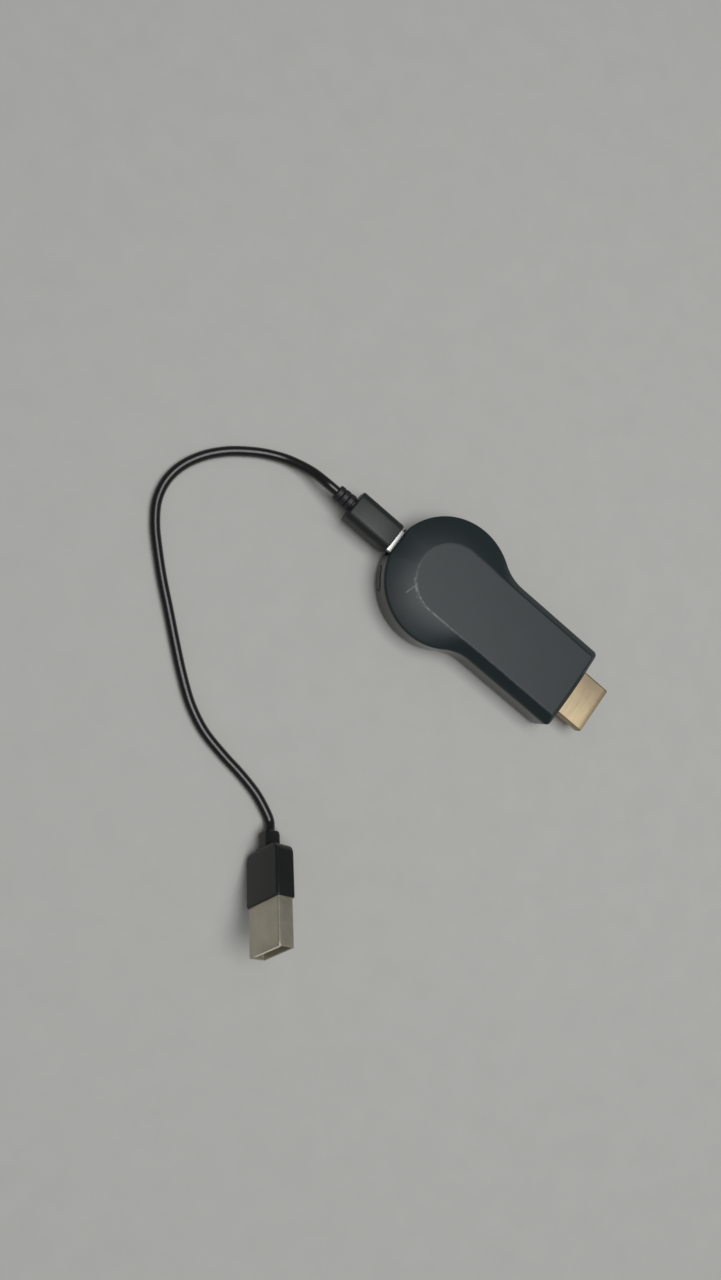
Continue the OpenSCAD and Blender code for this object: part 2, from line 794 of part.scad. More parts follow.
module socket_shell() {
    color([0.74, 0.74, 0.75]) {
        translate([0, 0, socket_z]) difference() {
            along_x(socket_front_x, socket_l)
                polygon(bar_section(socket_out_w, socket_out_h, socket_cut_w, socket_cut_h, 0));
            along_x(socket_front_x - over, socket_l + 2 * over)
                polygon(bar_section(socket_out_w, socket_out_h, socket_cut_w, socket_cut_h, socket_t));
        }
        // Solder wings on the board
        for (side = [0, 1]) mirror([0, side, 0])
            block([socket_back_x - wing_l - rib_t / 2, socket_out_w / 2, board_top],
                [socket_back_x - rib_t / 2, socket_out_w / 2 + wing_w, board_top + socket_t]);
    }
}

// One contact under the socket's tongue, with its tail on the board
module socket_contact() {
    tail_x = socket_back_x + 3 * small_contact_t;
    block([socket_front_x + 2 * tongue_back, -small_contact_w / 2, tongue_low - small_contact_t],
        [tail_x, small_contact_w / 2, tongue_low]);
    block([tail_x - 2 * small_contact_t, -small_contact_w / 2, -socket_rise],
        [tail_x, small_contact_w / 2, tongue_low]);
    block([tail_x - 2 * small_contact_t, -small_contact_w / 2, -socket_rise],
        [tail_x + rib_t, small_contact_w / 2, small_contact_t * 2 - socket_rise]);
}

module socket_contact_set() {
    for (i = [-2 : 2]) translate([0, i * small_contact_pitch, socket_z]) socket_contact();
}

module socket_contacts() {
    color([0.83, 0.68, 0.32]) socket_contact_set();
}

module socket_insulator() {
    color([0.12, 0.12, 0.12]) difference() {
        translate([0, 0, socket_z]) {
            along_x(socket_back_x - socket_base_l, socket_base_l)
                polygon(bar_section(socket_out_w, socket_out_h, socket_cut_w, socket_cut_h, socket_t));
            block([socket_front_x + tongue_back, -tongue_w / 2, tongue_low],
                [socket_back_x - socket_base_l / 2, tongue_w / 2, tongue_high]);
        }
        socket_contact_set();
    }
}

module switch_body() {
    color([0.16, 0.16, 0.17]) around_head(-button_a, button_z) difference() {
        block([switch_front_r - switch_l, -switch_w / 2, -switch_h / 2],
            [switch_front_r, switch_w / 2, switch_h / 2]);
        block([switch_front_r - plunger_seat - button_travel - slip,
            -plunger_w / 2 - plunger_gap, -plunger_h / 2 - plunger_gap],
            [switch_front_r + over, plunger_w / 2 + plunger_gap, plunger_h / 2 + plunger_gap]);
    }
}

module switch_plunger() {
    color([0.85, 0.85, 0.82]) around_head(-button_a, button_z)
        block([switch_front_r - plunger_seat, -plunger_w / 2, -plunger_h / 2],
            [flange_in_r - plunger_gap, plunger_w / 2, plunger_h / 2]);
}

module reset_button() {
    color([0.09, 0.09, 0.1]) around_head(-button_a, button_z) {
        intersection() {
            round_bar(flange_in_r, head_r, button_l, button_h);
            difference() {
                translate([0, 0, -head_r])
                    cylinder(h = 2 * head_r, r = head_r + button_proud, $fn = fine);
                translate([0, 0, -head_r - over])
                    cylinder(h = 2 * head_r + 2 * over, r = flange_in_r, $fn = fine);
            }
        }
        intersection() {
            block([0, -button_l / 2 - flange_more, -flange_h / 2],
                [head_r, button_l / 2 + flange_more, flange_h / 2]);
            difference() {
                translate([0, 0, -head_r]) cylinder(h = 2 * head_r, r = flange_r, $fn = fine);
                translate([0, 0, -head_r - over])
                    cylinder(h = 2 * head_r + 2 * over, r = flange_in_r, $fn = fine);
            }
        }
    }
}

module status_led() {
    color([0.95, 0.95, 0.88]) around_head(light_a, light_z)
        block([light_in_r - led_gap - led_l, -led_w / 2, -led_h / 2],
            [light_in_r - led_gap, led_w / 2, led_h / 2]);
}

module light_pipe() {
    color([0.85, 0.87, 0.88, 0.7]) around_head(light_a, light_z) rotate([0, 90, 0]) {
        translate([0, 0, light_in_r]) cylinder(h = head_r - groove - light_in_r, r = light_r);
        translate([0, 0, inner_r - slip - light_flange_t])
            cylinder(h = light_flange_t, r = light_flange_r);
    }
}

module plug_shell() {
    color([0.86, 0.86, 0.87]) translate([0, 0, socket_z]) difference() {
        along_x(grip_x - plug_root_l, plug_tip_x - grip_x + plug_root_l)
            polygon(bar_section(plug_w, plug_h, plug_cut_w, plug_cut_h, 0));
        along_x(grip_x - plug_root_l - over, plug_tip_x - grip_x + plug_root_l + 2 * over)
            polygon(bar_section(plug_w, plug_h, plug_cut_w, plug_cut_h, plug_wall));
    }
}

module plug_insulator() {
    color([0.1, 0.1, 0.1]) translate([0, 0, socket_z]) difference() {
        along_x(grip_x - plug_root_l, plug_tip_x - grip_x + plug_root_l - plug_wall)
            polygon(bar_section(plug_w, plug_h, plug_cut_w, plug_cut_h, plug_wall));
        // Room for the socket's tongue, above the plug's own contacts
        block([grip_x, -plug_w, -small_contact_t], [plug_tip_x + over, plug_w, plug_h]);
        plug_contact_set();
    }
}

module plug_contact_set() {
    for (i = [-2 : 2]) translate([0, i * small_contact_pitch, 0])
        block([grip_x - plug_root_l, -small_contact_w / 2, -2 * small_contact_t],
            [plug_tip_x - 2 * plug_wall, small_contact_w / 2, -small_contact_t]);
}

module plug_contacts() {
    color([0.83, 0.68, 0.32]) translate([0, 0, socket_z]) plug_contact_set();
}

// Section of a grip with bevelled corners
function bevelled(w, h, cut) =
    [[cut - w / 2, h / 2], [-w / 2, h / 2 - cut], [-w / 2, cut - h / 2], [cut - w / 2, -h / 2],
        [w / 2 - cut, -h / 2], [w / 2, cut - h / 2], [w / 2, h / 2 - cut], [w / 2 - cut, h / 2]];

// Section with rounded corners
module rounded_section(w, h, r) {
    square([w, h - 2 * r], center = true);
    square([w - 2 * r, h], center = true);
    for (y = [-1, 1]) for (z = [-1, 1])
        translate([y * (w / 2 - r), z * (h / 2 - r)]) circle(r = r);
}

// Outline of the small plug's grip from one side, with bevelled corners at its back
function grip_outline(half) =
    [[grip_x, half], [grip_back_x + grip_taper, half], [grip_back_x, half - grip_taper],
        [grip_back_x, grip_taper - half], [grip_back_x + grip_taper, -half], [grip_x, -half]];

module plug_grip() {
    color([0.16, 0.17, 0.17]) translate([0, 0, socket_z]) difference() {
        intersection() {
            along_x(grip_back_x, grip_l) rounded_section(grip_w, grip_h, grip_corner_r);
            translate([0, 0, -grip_h]) linear_extrude(2 * grip_h) polygon(grip_outline(grip_w / 2));
            translate([0, grip_w, 0]) rotate([90, 0, 0]) linear_extrude(2 * grip_w)
                polygon(grip_outline(grip_h / 2));
        }
        along_x(grip_x - plug_root_l, plug_root_l + over)
            polygon(bar_section(plug_w, plug_h, plug_cut_w, plug_cut_h, 0));
    }
}

module plug_sleeve() {
    bead_l = (sleeve_l - sleeve_neck_l) / sleeve_beads;
    root_r = sleeve_r - 2 * sleeve_rib;
    color([0.12, 0.12, 0.12]) translate([grip_back_x, 0, socket_z]) rotate([0, -90, 0]) rotate_extrude()
        polygon(concat([[0, 0], [root_r, 0], [root_r, sleeve_neck_l]],
            [for (i = [0 : sleeve_beads - 1])
                let (r = sleeve_r - i * sleeve_taper, z = sleeve_neck_l + i * bead_l)
                for (p = [[r - sleeve_taper, z + bead_share * bead_l], [r, z + bead_l / 2],
                    [r - sleeve_taper, z + (1 - bead_share) * bead_l],
                    [root_r - i * sleeve_taper, z + bead_l]]) p],
            [[0, sleeve_l]]));
}

// Unit vectors of the large plug: along it, and its place
host_along = [cos(host_yaw) * cos(host_pitch), sin(host_yaw) * cos(host_pitch), sin(host_pitch)];
host_place = [host_x, host_y, host_z];
collar_back = host_place - (host_grip_l + collar_l) * host_along;

// Centre line of the cord: straight out of the sleeve, along its route, straight into the collar
cord_line = concat([[sleeve_back_x, 0, socket_z], [sleeve_back_x - cord_lead, 0, socket_z]],
    [for (p = cord_route) [p.x, p.y, p.z + cord_d / 2]],
    [collar_back - cord_lead * host_along, collar_back]);

// Smooth curve through the points of a line, "steps" pieces to each span
function spline_point(p, i, t) =
    let (n = len(p) - 1,
        a = p[max(i - 1, 0)],
        b = p[i],
        c = p[min(i + 1, n)],
        d = p[min(i + 2, n)])
    (2 * b + (c - a) * t + (2 * a - 5 * b + 4 * c - d) * pow(t, 2)
        + (3 * b - a - 3 * c + d) * pow(t, 3)) / 2;
function smooth(p, steps) =
    concat([for (i = [0 : len(p) - 2]) for (k = [0 : steps - 1]) spline_point(p, i, k / steps)],
        [p[len(p) - 1]]);
function unit(v) = v / norm(v);
function heading(p, i) =
    i == 0 ? [-1, 0, 0] : i == len(p) - 1 ? host_along : unit(p[i + 1] - p[i - 1]);
function cord_ring(p, i, r) =
    let (along = heading(p, i),
        side = unit(cross([0, 0, 1], along)),
        up = cross(along, side))
    [for (k = [0 : cord_sides - 1])
        let (a = -k * 360 / cord_sides)
        p[i] + r * cos(a) * side + r * sin(a) * up];

module power_cord() {
    // The curve between two points on the surface doesn't dip below it
    line = [for (p = smooth(cord_line, cord_steps)) [p.x, p.y, max(p.z, cord_d / 2)]];
    color([0.06, 0.06, 0.065]) skin([for (i = [0 : len(line) - 1]) cord_ring(line, i, cord_d / 2)]);
}

// Frame of the large plug: +X towards its tip, the origin where its metal leaves the grip
module host_frame() {
    translate(host_place) rotate([host_roll, -host_pitch, host_yaw]) children();
}

module host_collar() {
    color([0.09, 0.09, 0.1]) host_frame() along_x(-host_grip_l - collar_l, collar_l)
        polygon(bevelled(collar_w, collar_h, collar_bevel));
}

module host_grip() {
    color([0.13, 0.14, 0.15]) host_frame() difference() {
        intersection() {
            along_x(-host_grip_l, host_grip_l) polygon(bevelled(host_grip_w, host_grip_h, host_bevel));
            translate([0, 0, -host_grip_h]) linear_extrude(2 * host_grip_h) {
                translate([-host_grip_l, host_corner_r - host_grip_w / 2])
                    square([host_grip_l, host_grip_w - 2 * host_corner_r]);
                translate([host_corner_r - host_grip_l, -host_grip_w / 2])
                    square([host_grip_l - host_corner_r, host_grip_w]);
                for (side = [-1, 1])
                    translate([host_corner_r - host_grip_l, side * (host_grip_w / 2 - host_corner_r)])
                        circle(r = host_corner_r);
            }
        }
        block([-host_root_l, -host_w / 2, -host_h / 2], [over, host_w / 2, host_h / 2]);
    }
}

module host_shell() {
    color([0.66, 0.64, 0.6]) host_frame() difference() {
        block([-host_root_l, -host_w / 2, -host_h / 2], [host_l, host_w / 2, host_h / 2]);
        block([-host_root_l - over, host_wall - host_w / 2, host_wall - host_h / 2],
            [host_l + over, host_w / 2 - host_wall, host_h / 2 - host_wall]);
        // Two latch windows, in the face away from the tongue
        for (side = [-1, 1]) translate([host_l - host_window_tip, side * host_window_y, -host_h / 2])
            cube([host_window, host_window, host_h / 2], center = true);
    }
}

module host_contact_set() {
    for (i = [-1.5, -0.5, 0.5, 1.5]) translate([host_l - 2 * host_tongue_back - host_contact_l,
        i * host_contact_pitch - host_contact_w / 2, host_h / 2 - host_wall - host_tongue_h])
        cube([host_contact_l, host_contact_w, host_contact_t]);
}

module host_insulator() {
    color([0.85, 0.84, 0.8]) host_frame() difference() {
        union() {
            block([-host_seat_l, host_wall - host_w / 2, host_h / 2 - host_wall - host_tongue_h],
                [host_l - host_tongue_back, host_w / 2 - host_wall, host_h / 2 - host_wall]);
            block([-host_seat_l, host_wall - host_w / 2, host_wall - host_h / 2],
                [0, host_w / 2 - host_wall, host_h / 2 - host_wall]);
        }
        host_contact_set();
    }
}

module host_contacts() {
    color([0.85, 0.7, 0.35]) host_frame() host_contact_set();
}

upper_cover();
lower_cover();
main_board();
shield_can();
processor();
memory_chip();
chip_pads();
can_pad();
heat_spreader();
flash_chip();
radio_module();
radio_antenna();
crystal();
power_coils();
capacitors();
video_shell();
video_insulator();
video_contacts();
socket_shell();
socket_insulator();
socket_contacts();
switch_body();
switch_plunger();
reset_button();
status_led();
light_pipe();
plug_shell();
plug_insulator();
plug_contacts();
plug_grip();
plug_sleeve();
power_cord();
host_collar();
host_grip();
host_shell();
host_insulator();
host_contacts();
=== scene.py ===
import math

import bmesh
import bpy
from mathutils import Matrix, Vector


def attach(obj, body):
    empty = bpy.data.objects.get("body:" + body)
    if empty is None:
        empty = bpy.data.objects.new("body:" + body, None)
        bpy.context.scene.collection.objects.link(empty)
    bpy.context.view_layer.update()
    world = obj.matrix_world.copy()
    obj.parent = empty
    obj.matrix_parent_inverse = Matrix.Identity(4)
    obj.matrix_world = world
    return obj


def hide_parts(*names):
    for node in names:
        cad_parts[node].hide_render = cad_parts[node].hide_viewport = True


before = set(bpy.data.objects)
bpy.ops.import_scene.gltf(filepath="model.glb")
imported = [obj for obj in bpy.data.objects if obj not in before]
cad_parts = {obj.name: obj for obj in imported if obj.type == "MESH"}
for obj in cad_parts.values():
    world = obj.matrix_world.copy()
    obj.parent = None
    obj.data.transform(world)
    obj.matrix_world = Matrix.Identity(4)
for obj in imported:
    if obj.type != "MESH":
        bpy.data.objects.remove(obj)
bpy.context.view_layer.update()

# %% [markdown]
# # A streaming media stick and its power cable
# The stick has a round head and a straight stem. A matt upper cover clips onto a glossy lower
# cover, a video plug stands out of the stem, and a short cable is plugged into the head.
# The exact solids come from CAD. This lesson gives them their finer shapes and their finishes.

MM = 0.001

# %% [markdown]
# ## The camera
# The photograph was taken by hand from above the head, with a phone. Its place and its turn
# were solved from the outlines of the stick, so the axes below are measured ones.
# A phone's main lens is like a 27 mm lens on a 36 mm sensor.

# %% Camera
CAMERA_PLACE = Vector((-0.073179, -0.0795, 0.241617))
CAMERA_RIGHT = Vector((0.75627, 0.59068, 0.28136))
CAMERA_UP = Vector((-0.62708, 0.77707, 0.05418))

camera_data = bpy.data.cameras.new("camera")
camera_data.lens = 27.03
camera_data.sensor_width = 36.0
camera_data.clip_start = 0.005
camera = bpy.data.objects.new("camera", camera_data)
bpy.context.scene.collection.objects.link(camera)
camera_back = CAMERA_RIGHT.cross(CAMERA_UP)
camera.matrix_world = Matrix.Translation(CAMERA_PLACE) @ Matrix(
    (CAMERA_RIGHT, CAMERA_UP, camera_back)).transposed().to_4x4()
bpy.context.scene.camera = camera
print("camera looks along", [round(-v, 3) for v in camera_back])

# %% [markdown]
# ## Small tools for materials
# A material is a small network of nodes. One function adds a node, sets it and links it,
# so that a finish reads as a list of what it is made of. Colours are written as they look
# on a screen (sRGB) and turned to the linear values that Blender calculates with.

# %% Colour and node helpers
def linear(colour):
    """A screen colour such as '#22272A' as linear red, green, blue and alpha."""
    parts = [int(colour[i:i + 2], 16) / 255 for i in (1, 3, 5)]
    return tuple(c / 12.92 if c <= 0.04045 else ((c + 0.055) / 1.055) ** 2.4 for c in parts) + (1.0,)


def add(tree, kind, inputs=None, out=0, **settings):
    """Adds a node and gives one output, or all with None. An input is a value or such an output."""
    node = tree.nodes.new(kind)
    for name, value in settings.items():
        setattr(node, name, value)
    for name, value in (inputs or {}).items():
        if isinstance(value, bpy.types.NodeSocket):
            tree.links.new(value, node.inputs[name])
        else:
            node.inputs[name].default_value = value
    return node.outputs if out is None else node.outputs[out]


print("linear slate:", [round(v, 4) for v in linear("#22272A")])

# %% [markdown]
# ## One base for every finish
# Nearly every finish here is a surface with a fine grain: spark texture on moulded plastic,
# rolling or brushing lines on metal. The grain is noise, and its size is a real one in
# millimetres, drawn coarser where the real grain would be too fine to show. It moves the
# surface normal a little, and it lets the roughness wander. A second, broad noise does
# the same to the colour, because no real surface is the same all over.

# %% Finish helper
PATCH = 9.0


def finish(name, colour, roughness, grain, depth, metallic=0.0, stretch=(1, 1, 1), wander=0.12,
           second=None, **shader_values):
    """A material with a grain of that size and depth in mm, drawn out along an axis by stretch."""
    material = bpy.data.materials.new(name)
    material.use_nodes = True
    tree = material.node_tree
    shader = tree.nodes["Principled BSDF"]
    shader.inputs["Metallic"].default_value = metallic
    for socket, value in shader_values.items():
        shader.inputs[socket.replace("_", " ")].default_value = value
    place = add(tree, "ShaderNodeTexCoord", out="Object")
    drawn = add(tree, "ShaderNodeMapping", {"Vector": place, "Scale": stretch})
    fine = add(tree, "ShaderNodeTexNoise", {
        "Vector": drawn, "Scale": 1 / (grain * MM), "Detail": 3.0, "Roughness": 0.6}, "Fac")
    broad = add(tree, "ShaderNodeTexNoise", {
        "Vector": place, "Scale": 1 / (PATCH * MM), "Detail": 4.0, "Roughness": 0.6}, "Fac")
    base = linear(colour)
    lighter = tuple(min(1.0, c * (1 + 2 * wander)) for c in base[:3]) + (1.0,)
    tone = add(tree, "ShaderNodeMapRange", {"Value": broad, "From Min": 0.3, "From Max": 0.7})
    paint = add(tree, "ShaderNodeMix", {0: tone, 6: base, 7: linear(second) if second else lighter}, 2,
                data_type="RGBA")
    gloss = add(tree, "ShaderNodeMapRange", {
        "Value": fine, "From Min": 0.25, "From Max": 0.75,
        "To Min": roughness * (1 - wander), "To Max": roughness * (1 + wander)})
    relief = add(tree, "ShaderNodeBump", {"Height": fine, "Distance": depth * MM, "Strength": 1.0})
    for output, socket in ((paint, "Base Color"), (gloss, "Roughness"), (relief, "Normal")):
        tree.links.new(output, shader.inputs[socket])
    return material


print("colours wander in patches of", PATCH, "mm")

# %% [markdown]
# ## Small tools for shapes
# Most housings here are skins: closed outlines, stacked one above the other, with a band of
# faces between each pair. Lists of points in millimetres are easy to work out from the sizes
# on a drawing, and one function turns them into a Blender mesh in metres.

# %% Skins and simple solids
def skin(rings, around=False):
    """Bands of faces through rings with equally many points. The ends are closed, or joined around."""
    n, count = len(rings[0]), len(rings)
    points = [tuple(p) for ring in rings for p in ring]
    faces = []
    for k in range(count if around else count - 1):
        a, b = k * n, (k + 1) % count * n
        faces += [(a + i, a + (i + 1) % n, b + (i + 1) % n, b + i) for i in range(n)]
    if not around:
        faces += [tuple(range(n - 1, -1, -1)), tuple(range((count - 1) * n, count * n))]
    return points, faces


def solid(name, shape, place=None):
    """A new object from points in mm; place is a matrix that puts them into the CAD frame."""
    points, faces = shape
    mesh = bpy.data.meshes.new(name)
    mesh.from_pydata([Vector(p) * MM for p in points], [], faces)
    if place:
        mesh.transform(place)
    draft = bmesh.new()
    draft.from_mesh(mesh)
    bmesh.ops.recalc_face_normals(draft, faces=draft.faces)
    draft.to_mesh(mesh)
    draft.free()
    piece = bpy.data.objects.new(name, mesh)
    bpy.context.scene.collection.objects.link(piece)
    return piece


def spaced(count, start, end):
    """Evenly spaced values from start towards end, the last one left out."""
    return [start + (end - start) * i / count for i in range(count)]


def circle(radius, steps=24):
    """A round outline about the origin."""
    return [(radius * math.cos(a), radius * math.sin(a)) for a in spaced(steps, 0, math.tau)]


def level(outline, z):
    """An outline seen from above, at a height."""
    return [(x, y, z) for x, y in outline]


def post(x, y, radius, low, high):
    """An upright round post."""
    return skin([[(x + p[0], y + p[1], z) for p in circle(radius)] for z in (low, high)])


def block(low, high):
    """A rib or tab between two opposite corners."""
    ring = [(low[0], low[1]), (high[0], low[1]), (high[0], high[1]), (low[0], high[1])]
    return skin([level(ring, z) for z in (low[2], high[2])])


print("faces of a post:", len(post(0, 0, 1, 0, 5)[1]))

# %% [markdown]
# Openings are cut with the exact boolean, as a milling cutter would make them. Ribs and posts
# are only added to the mesh of their cover: they reach into its wall, as a mould fuses them.
# Every finished piece gets smooth shading that stops at its real edges.

# %% Joining, cutting and dressing
def join_in(piece, shapes):
    """Adds closed shapes to a piece's mesh, as a mould adds ribs to a wall."""
    whole = bmesh.new()
    whole.from_mesh(piece.data)
    for shape in shapes:
        part = solid("part", shape)
        whole.from_mesh(part.data)
        bpy.data.objects.remove(part)
    whole.to_mesh(piece.data)
    whole.free()
    print("shapes inside", piece.name + ":", len(shapes))


def bake_modifiers(piece):
    """Replaces the piece's mesh with what its modifiers make of it."""
    seen = piece.evaluated_get(bpy.context.evaluated_depsgraph_get())
    mesh = bpy.data.meshes.new_from_object(seen)
    piece.modifiers.clear()
    piece.data = mesh
    return piece


def cut(piece, *cutters):
    """Cuts other solids out of a piece and removes them."""
    for cutter in cutters:
        step = piece.modifiers.new("cut", "BOOLEAN")
        step.operation, step.solver, step.object = "DIFFERENCE", "EXACT", cutter
    bake_modifiers(piece)
    for cutter in cutters:
        bpy.data.objects.remove(cutter)


def dress(piece, material, body, slot, *stands_for, sharp=32):
    """Smooth shading with sharp edges, one material, and the CAD body that the piece moves with."""
    mesh = piece.data
    if piece.type == "MESH":
        mesh.shade_smooth()
        mesh.set_sharp_from_angle(angle=math.radians(sharp))
    mesh.materials.clear()
    mesh.materials.append(material)
    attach(piece, body)
    if stands_for:
        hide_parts(*stands_for)
    print(piece.name, "-", len(mesh.polygons) if piece.type == "MESH" else "curve")


# %% [markdown]
# ## Rounded sections
# Sheet metal and moulded grips have no truly sharp corners. Each corner of a section is
# replaced by a short arc. The number of points stays the same for every section of a kind,
# so two of them can be joined by a skin.

# %% Sections
def rounded(corners, radius, steps=4):
    """A closed outline with every corner rounded."""
    out = []
    count = len(corners)
    for i in range(count):
        here = Vector(corners[i])
        before = (Vector(corners[i - 1]) - here).normalized()
        after = (Vector(corners[(i + 1) % count]) - here).normalized()
        half = before.angle(after) / 2
        reach = radius / math.tan(half)
        middle = here + (before + after).normalized() * radius / math.sin(half)
        start, end = here + before * reach - middle, here + after * reach - middle
        out += [tuple(middle + radius * start.slerp(end, k / steps).normalized()) for k in range(steps + 1)]
    return out


def box(width, height):
    """A plain rectangular section."""
    w, h = width / 2, height / 2
    return [(-w, h), (-w, -h), (w, -h), (w, h)]


def bevelled(width, height, bevel):
    """A bar's section with bevelled corners, in Y and Z."""
    w, h = width / 2, height / 2
    return [(bevel - w, h), (-w, h - bevel), (-w, bevel - h), (bevel - w, -h),
            (w - bevel, -h), (w, bevel - h), (w, h - bevel), (w - bevel, h)]


def slanted(width, height, cut_w, cut_h, inset=0.0):
    """The section of a video plug or a small power plug: two sloped lower corners."""
    slant = math.hypot(cut_w, cut_h)
    x0 = width / 2 - inset
    x1 = width / 2 - cut_w - inset * (slant - cut_w) / cut_h
    z0 = cut_h - height / 2 + inset * (slant - cut_h) / cut_w
    z1, top = inset - height / 2, height / 2 - inset
    return [(-x0, top), (-x0, z0), (-x1, z1), (x1, z1), (x0, z0), (x0, top)]


def stadium(long, tall, inset=0.0, steps=10, sides=8):
    """A bar's outline with two round ends, in Y and Z, and points along its straight sides."""
    reach, r = (long - tall) / 2, tall / 2 - inset
    out = []
    for side, first in ((1, -math.pi / 2), (-1, math.pi / 2)):
        end = spaced(steps, first, first + math.pi)
        out += [(side * reach + r * math.cos(a), r * math.sin(a)) for a in end]
        out += [(side * reach * (1 - 2 * k / sides), side * r) for k in range(sides)]
    return out


def across(section, x, z=0.0):
    """A section in Y and Z, set at one X."""
    return [(x, p[0], p[1] + z) for p in section]


print("points in a rounded box:", len(rounded(box(12, 4.5), 0.5)))

# %% [markdown]
# A plug's shell is a tube of thin sheet. Its mouth is rounded over and catches the light, so the
# skin goes along the outside, over the mouth and back down the inside. Windows for the latches
# of the socket are cut through one face.

# %% Plug shells
MOUTH_RUN = 1.6
SIDES = (-1, 1)


def tube_of_sheet(outer, inner, back, tip, lip, z=0.0):
    """A drawn metal tube whose mouth is rounded over by lip."""
    middle = [((a[0] + b[0]) / 2, (a[1] + b[1]) / 2) for a, b in zip(outer, inner)]
    quarter = [(a[0] * 0.7 + b[0] * 0.3, a[1] * 0.7 + b[1] * 0.3) for a, b in zip(outer, middle)]
    return skin([across(section, x, z) for section, x in (
        (outer, back), (outer, tip - MOUTH_RUN), (outer, tip - lip), (quarter, tip - lip * 0.3),
        (middle, tip), (inner, tip - lip), (inner, back))], around=True)


def latch_windows(x, y, length, width, radius, low, high, place=None):
    """Cutters for two windows, one on each side of the middle, between two heights."""
    ring = rounded(box(length, width), radius)
    shapes = [skin([[(x + p[0], side * y + p[1], z) for p in ring] for z in (low, high)]) for side in SIDES]
    return [solid("window", shape, place) for shape in shapes]


print("a shell's mouth starts", MOUTH_RUN, "mm from its tip")

# %% [markdown]
# ## The cord
# The cable is 2.6 mm thick and short, and the photograph shows it from end to end. Its jacket
# is glossy PVC: nearly black, with one thin bright line where it mirrors the lamp.
# A cord is a curve with thickness. The points are the same as in the CAD source, in metres,
# with the height of the cord's underside, and a smooth curve goes through all of them.

# %% Route of the cord
CORD_R = 0.0013
CORD_EXIT = (-0.0556, 0.0, 0.0061)
STRAIGHT, COLLAR_REACH = 0.003, 0.018
PLUG_TURN, PLUG_RISE, PLUG_ROLL = math.radians(-57), math.radians(30), math.radians(66)
PLUG_HEADING = Vector((math.cos(PLUG_RISE) * math.cos(PLUG_TURN),
                       math.cos(PLUG_RISE) * math.sin(PLUG_TURN), math.sin(PLUG_RISE)))
PLUG_PLACE = Vector((-0.007, -0.0912, 0.0118823))
COLLAR_BACK = PLUG_PLACE - COLLAR_REACH * PLUG_HEADING
CORD_ROUTE = [
    (-0.063, 0.0004, 0.003), (-0.067, 0, 0.0016), (-0.071, -0.001, 0.0005), (-0.0755, -0.0032, 0.0001),
    (-0.0795, -0.006, 0), (-0.0835, -0.0096, 0), (-0.087, -0.0142, 0), (-0.0894, -0.0196, 0),
    (-0.09, -0.0252, 0), (-0.0886, -0.0306, 0), (-0.0854, -0.0354, 0), (-0.0814, -0.0396, 0),
    (-0.0756, -0.045, 0), (-0.0694, -0.0502, 0), (-0.0628, -0.0558, 0), (-0.0564, -0.061, 0),
    (-0.0504, -0.0652, 0), (-0.044, -0.0682, 0), (-0.037, -0.0699, 0), (-0.03, -0.0711, 0),
    (-0.0242, -0.0725, 0), (-0.02, -0.0742, 0)]


def smooth(points, steps=8):
    """A curve through all the points, with so many steps between two of them, kept on the table."""
    out = []
    for i in range(len(points) - 1):
        a, b = points[max(i - 1, 0)], points[i]
        c, d = points[i + 1], points[min(i + 2, len(points) - 1)]
        for k in range(steps):
            t = k / steps
            p = (2 * b + (c - a) * t + (2 * a - 5 * b + 4 * c - d) * t * t
                 + (3 * b - a - 3 * c + d) * t ** 3) / 2
            out.append(Vector((p.x, p.y, max(p.z, CORD_R))))
    return out + [points[-1]]


line = [Vector(CORD_EXIT), Vector(CORD_EXIT) - Vector((STRAIGHT, 0, 0))]
line += [Vector((x, y, z + CORD_R)) for x, y, z in CORD_ROUTE]
line = smooth(line + [COLLAR_BACK - STRAIGHT * PLUG_HEADING, COLLAR_BACK])

# %% Cord and its jacket
cord_pvc = finish("PVC, extruded, glossy black", "#0D0D0E", 0.3, grain=0.8, depth=0.0015, wander=0.15,
                  Coat_Weight=0.15, Coat_Roughness=0.12)
cord_data = bpy.data.curves.new("power_cord_jacket", "CURVE")
cord_data.dimensions = "3D"
cord_data.bevel_depth = CORD_R
cord_data.bevel_resolution = 5
cord_data.use_fill_caps = True
run = cord_data.splines.new("POLY")
run.points.add(len(line) - 1)
for point, place in zip(run.points, line):
    point.co = (*place, 1)
run.use_smooth = True
power_cord = bpy.data.objects.new("power_cord_jacket", cord_data)
bpy.context.scene.collection.objects.link(power_cord)
dress(power_cord, cord_pvc, "cable", "cord_jacket", "power_cord")

# %% [markdown]
# ## Outline of the stick
# Seen from above, the stick is a keyhole: a circle, two hollow curves and a straight stem.
# The head has a small flat where the power plug goes in. The flat top is a narrower outline,
# point for point beside the first, so that the sloping shoulders between them come out as
# plain bands. The sizes are those of the CAD source, in mm.

# %% Sizes of the body
HEAD_R, STEM_W, BODY_L, BODY_H = 17.5, 24.6, 62.7, 12.0
SEAM_Z, NECK_R, CORNER_R, END_BOW, WALL = 8.8, 13.0, 1.2, 0.3, 1.3
PLATEAU_R, ROOF, RIM_BAND, END_SLOPE, SWELL, PORT_FLAT = 9.85, 1.2, 0.6, 1.8, 0.25, 0.5
LIP_H, LIP_T, FLOOR_T, FOOT_R, FOOT_FLAT = 0.9, 0.7, 1.2, 2.6, 0.3
GROOVE, GROOVE_EASE, EDGE, SLIP, VIDEO_OUT = 0.15, 0.045, 0.35, 0.1, 9.3
TOTAL_L = BODY_L + VIDEO_OUT
HEAD_X, END_X, RIM_X = HEAD_R - TOTAL_L / 2, BODY_L - TOTAL_L / 2, -TOTAL_L / 2
NECK_DX = math.sqrt((HEAD_R + NECK_R) ** 2 - (STEM_W / 2 + NECK_R) ** 2)
NECK_A = math.atan2(STEM_W / 2 + NECK_R, NECK_DX)
NECK_X = HEAD_X + NECK_DX
